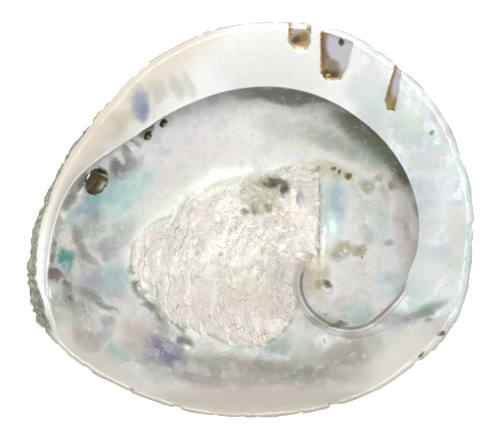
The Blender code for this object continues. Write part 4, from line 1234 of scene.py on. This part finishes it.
    # outside: banded horn-brown and grey-green, chalky where the crust is thick
    bands = s.noise(s.vector("MULTIPLY", whorl, (1.0, 0.12, 0.0)), 0.9, 5.0, 0.6)
    hide = s.mix(s.between(bands, 0.38, 0.62), paint(112, 74, 58), paint(150, 142, 116))
    for grain, levels, tint in (
        ((0.12, 5.0, 0.65), (0.52, 0.66, 0, 0.8), paint(178, 170, 152)),
        ((0.5, 6.0, 0.7), (0.54, 0.7, 0, 0.7), paint(88, 80, 58)),
    ):
        hide = s.mix(s.between(s.noise(place, *grain), *levels), hide, tint)
    cords = (share * (2 * math.pi * CORDS / 10)).sum("SINE")
    hide = s.mix(s.between(cords, 0.2, 1.0, 0.0, 0.3), hide, paint(176, 160, 136))
    chalky = s.noise(place, 0.7, 5.0, 0.7)
    rind = s.mix(s.between(chalky, 0.42, 0.60), paint(148, 146, 126), paint(200, 202, 188))
    pits = s.between(s.noise(place, 1.3, 4.0, 0.7), 0.60, 0.68, 0, 0.8)
    rind = s.mix(pits, rind, paint(84, 74, 54))
    hide = s.mix(crust, hide, rind)
    colour = s.mix(s.between(hide_cover, 0.2, 0.8), inside_colour, hide)
    colour = s.mix(bore, colour, bore_horn_and_shade)

    grit = s.noise(place, 1.3, 6.0, 0.7)
    satin = 0.30 + 0.14 * mottle + scar * 0.12 + s.between(grit, 0.4, 0.7, 0.0, 0.08)
    rough = satin * (1 - outside) + outside * (0.62 + 0.2 * chalky)
    fine = s.noise(place, 1.1, 4.0, 0.6) * (0.25 + scar * 0.1 + outside * 0.9)
    combing = (strokes * 1.5 + fine_strokes * 0.6) * scar
    shelf_lines = streaks * shelf * 0.30
    ridges = bands * outside * 1.1 + crust * chalky * outside * 1.4
    bump = s.node(
        "ShaderNodeBump", sockets={
            "Strength": 0.55, "Distance": 0.0009, "Height": fine + combing + shelf_lines + ridges,
        },
    )  # fmt: skip
    s.finish(Base_Color=colour, Roughness=rough, Normal=bump, Coat_Weight=(1 - outside) * 0.35)
    s.finish(Coat_Roughness=0.16, IOR=1.53, Thin_Film_Thickness=420.0, Thin_Film_IOR=1.62)
    return s.material


def amber_windows(s, place, ragged, colours):
    """(where the shelf is worn through, the colour there)."""
    cover = None
    colour = (*colours.horn, 1.0)
    rough_place = s.vector("ADD", place, s.vector("MULTIPLY", ragged, (1.2, 1.2, 0.0)))
    x, y = (s.axis(rough_place, number) for number in range(2))
    for corners, floor in zip(WINDOWS, WINDOW_FLOORS, strict=True):
        inside = None
        for nx, ny, ax, ay in sides(corners):
            across = x * nx + y * ny - (ax * nx + ay * ny)
            inside = across if inside is None else inside.sum("MINIMUM", across)
        patch = s.between(inside, -0.1, 0.5)
        cover = patch if cover is None else patch.most(cover)
        here = s.mix(s.between(inside, 0.5, 2.4), paint(*floor["rim"]), paint(*floor["ring"]))
        here = s.stains_and_painted_light(here, rough_place, floor["stains_and_painted_light"])
        colour = s.mix(patch, colour, here)
    return cover, colour


# --- the add-on -------------------------------------------------------------------------
class ShellSizes(PropertyGroup):
    """Sizes of the shell's relief."""

    scar_relief: FloatProperty(
        name="Scar relief", description="Height of the combed lines on the muscle scar",
        default=0.0004, min=0.0, unit="LENGTH",
    )  # fmt: skip
    ridge_height: FloatProperty(
        name="Growth ridges", description="Height of the growth ridges on the outside",
        default=0.0007, min=0.0, unit="LENGTH",
    )  # fmt: skip
    cord_height: FloatProperty(
        name="Spiral cords", description="Height of the cords that follow the spiral",
        default=0.00028, min=0.0, unit="LENGTH",
    )  # fmt: skip
    crust_height: FloatProperty(
        name="Crust", description="Height of the crust's knobs along the left side",
        default=0.0011, min=0.0, unit="LENGTH",
    )  # fmt: skip
    lip_wear: FloatProperty(
        name="Lip wear", description="Depth of the nicks in the lip",
        default=0.0007, min=0.0, unit="LENGTH",
    )  # fmt: skip
    window_depth: FloatProperty(
        name="Window depth", description="How deep the windows in the shelf are worn",
        default=WINDOW_DEPTH * MM, min=0.0, unit="LENGTH",
    )  # fmt: skip
    meridians: IntProperty(
        name="Meridians", description="Cross-sections round the spiral", default=420, min=90
    )
    inner_stations: IntProperty(
        name="Inner stations", description="Points of a cross-section inside", default=148, min=30
    )
    outer_stations: IntProperty(
        name="Outer stations", description="Points of a cross-section outside", default=86, min=20
    )


class ShellColours(PropertyGroup):
    """Main colours of the finish."""

    pearl: FloatVectorProperty(
        name="Pearl", description="Milky ground of the inside", subtype="COLOR",
        default=paint(233, 231, 228)[:3], min=0, max=1,
    )  # fmt: skip
    cream: FloatVectorProperty(
        name="Cream", description="The shelf's narrow cream end", subtype="COLOR",
        default=paint(232, 222, 208)[:3], min=0, max=1,
    )  # fmt: skip
    horn: FloatVectorProperty(
        name="Amber horn", description="The horny layer under worn pearl", subtype="COLOR",
        default=paint(168, 122, 44)[:3], min=0, max=1,
    )  # fmt: skip


class StageLook(PropertyGroup):
    """Floor, lights and camera."""

    floor_colour: FloatVectorProperty(
        name="Floor", description="Colour of the floor", subtype="COLOR",
        default=(0.92, 0.92, 0.92), min=0, max=1,
    )  # fmt: skip
    floor_glow: FloatProperty(
        name="Floor glow", description="Light through the floor, which keeps shadows pale",
        default=0.74, min=0,
    )  # fmt: skip
    key_power: FloatProperty(name="Key light", description="Watts", default=5.0, min=0)
    sky_strength: FloatProperty(
        name="Sky", description="Even light all round", default=0.37, min=0
    )
    camera_height: FloatProperty(
        name="Camera height", description="Distance of the camera above the rim",
        default=1.6, min=0.3, unit="LENGTH",
    )  # fmt: skip


class SHELL_OT_grow(Operator):
    """Grow the shell and lay its finish on it"""

    bl_idname = "shell.grow"
    bl_label = "Grow shell"

    def execute(self, context):
        scene = context.scene
        shell, skin, skin_zones = grow_skin(scene.shell_sizes)
        shell.data = bored(shell)
        place_attributes(shell.data, skin, skin_zones)
        settle(shell.data)
        material = shell_finish(scene.shell_colours)
        shell.data.materials.clear()
        shell.data.materials.append(material)
        shell.data.shade_smooth()
        if len(shell.data.polygons) < 1000:
            raise RuntimeError("the shell lost its skin")
        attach(shell, "root")
        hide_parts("shell")
        return {"FINISHED"}


# Name, place, size and share of the key light's power.
LAMPS = [
    ("key_light", (0.13, 0.24, 0.84), 0.36, 1.0),
    ("fill_light", (-0.6, -0.35, 0.7), 0.8, 0.25),
]


class SHELL_OT_stage(Operator):
    """Lay the floor and set the lights and the camera"""

    bl_idname = "shell.stage"
    bl_label = "Set stage"

    def execute(self, context):
        look = context.scene.shell_stage
        bm = bmesh.new()
        bmesh.ops.create_grid(bm, x_segments=1, y_segments=1, size=3.0)
        mesh = bpy.data.meshes.new("floor")
        bm.to_mesh(mesh)
        bm.free()
        floor = bpy.data.objects.new("floor", mesh)
        context.scene.collection.objects.link(floor)
        ground = Surface("floor")
        ground.finish(Base_Color=(*look.floor_colour, 1), Roughness=0.9)
        ground.finish(Emission_Color=(1, 1, 1, 1), Emission_Strength=look.floor_glow)
        mesh.materials.append(ground.material)
        world = bpy.data.worlds.new("sky")
        world.use_nodes = True
        sky = world.node_tree.nodes["Background"]
        sky.inputs["Color"].default_value = (1, 1, 1, 1)
        sky.inputs["Strength"].default_value = look.sky_strength
        context.scene.world = world
        context.scene.view_settings.view_transform = "Standard"
        for name, place, size, share in LAMPS:
            lamp(name, place, size, look.key_power * share)
        stand_camera(look.camera_height)
        return {"FINISHED"}


def lamp(name, place, size, power):
    """A square soft light aimed at the middle of the shell."""
    data = bpy.data.lights.new(name, "AREA")
    data.size = size
    data.energy = power
    light = bpy.data.objects.new(name, data)
    light.location = place
    aim = Vector((0, 0, 0.02)) - light.location
    light.rotation_euler = aim.to_track_quat("-Z", "Y").to_euler()
    bpy.context.scene.collection.objects.link(light)


FIELD_WIDTH = 0.1865  # width of what the camera takes in at the rim


def stand_camera(height):
    """A camera straight above the shell, looking down, with +Y up in its view."""
    data = bpy.data.cameras.new("camera")
    data.lens = data.sensor_width * height / FIELD_WIDTH
    data.clip_end = 20
    camera = bpy.data.objects.new("camera", data)
    camera.location = (0, 0, CAD_BOX[1].z + height)
    bpy.context.scene.collection.objects.link(camera)
    bpy.context.scene.camera = camera


class SHELL_PT_panel(Panel):
    """The shell's sizes, colours and stage"""

    bl_idname = "SHELL_PT_panel"
    bl_label = "Abalone shell"
    bl_space_type = "VIEW_3D"
    bl_region_type = "UI"
    bl_category = "Shell"

    def draw(self, context):
        for group, operator in (
            (context.scene.shell_sizes, "shell.grow"),
            (context.scene.shell_colours, None),
            (context.scene.shell_stage, "shell.stage"),
        ):
            box = self.layout.box()
            for name in group.__annotations__:
                box.prop(group, name)
            if operator:
                box.operator(operator)


CLASSES = (ShellSizes, ShellColours, StageLook, SHELL_OT_grow, SHELL_OT_stage, SHELL_PT_panel)


def register():
    for cls in CLASSES:
        bpy.utils.register_class(cls)
    bpy.types.Scene.shell_sizes = PointerProperty(type=ShellSizes)
    bpy.types.Scene.shell_colours = PointerProperty(type=ShellColours)
    bpy.types.Scene.shell_stage = PointerProperty(type=StageLook)


def unregister():
    for name in ("shell_sizes", "shell_colours", "shell_stage"):
        delattr(bpy.types.Scene, name)
    for cls in reversed(CLASSES):
        bpy.utils.unregister_class(cls)


def main():
    register()
    for obj in list(bpy.data.objects):
        if obj.name in ("Cube", "Light", "Camera"):
            bpy.data.objects.remove(obj, do_unlink=True)
    bpy.ops.shell.grow()
    bpy.ops.shell.stage()


if __name__ == "__main__":
    main()
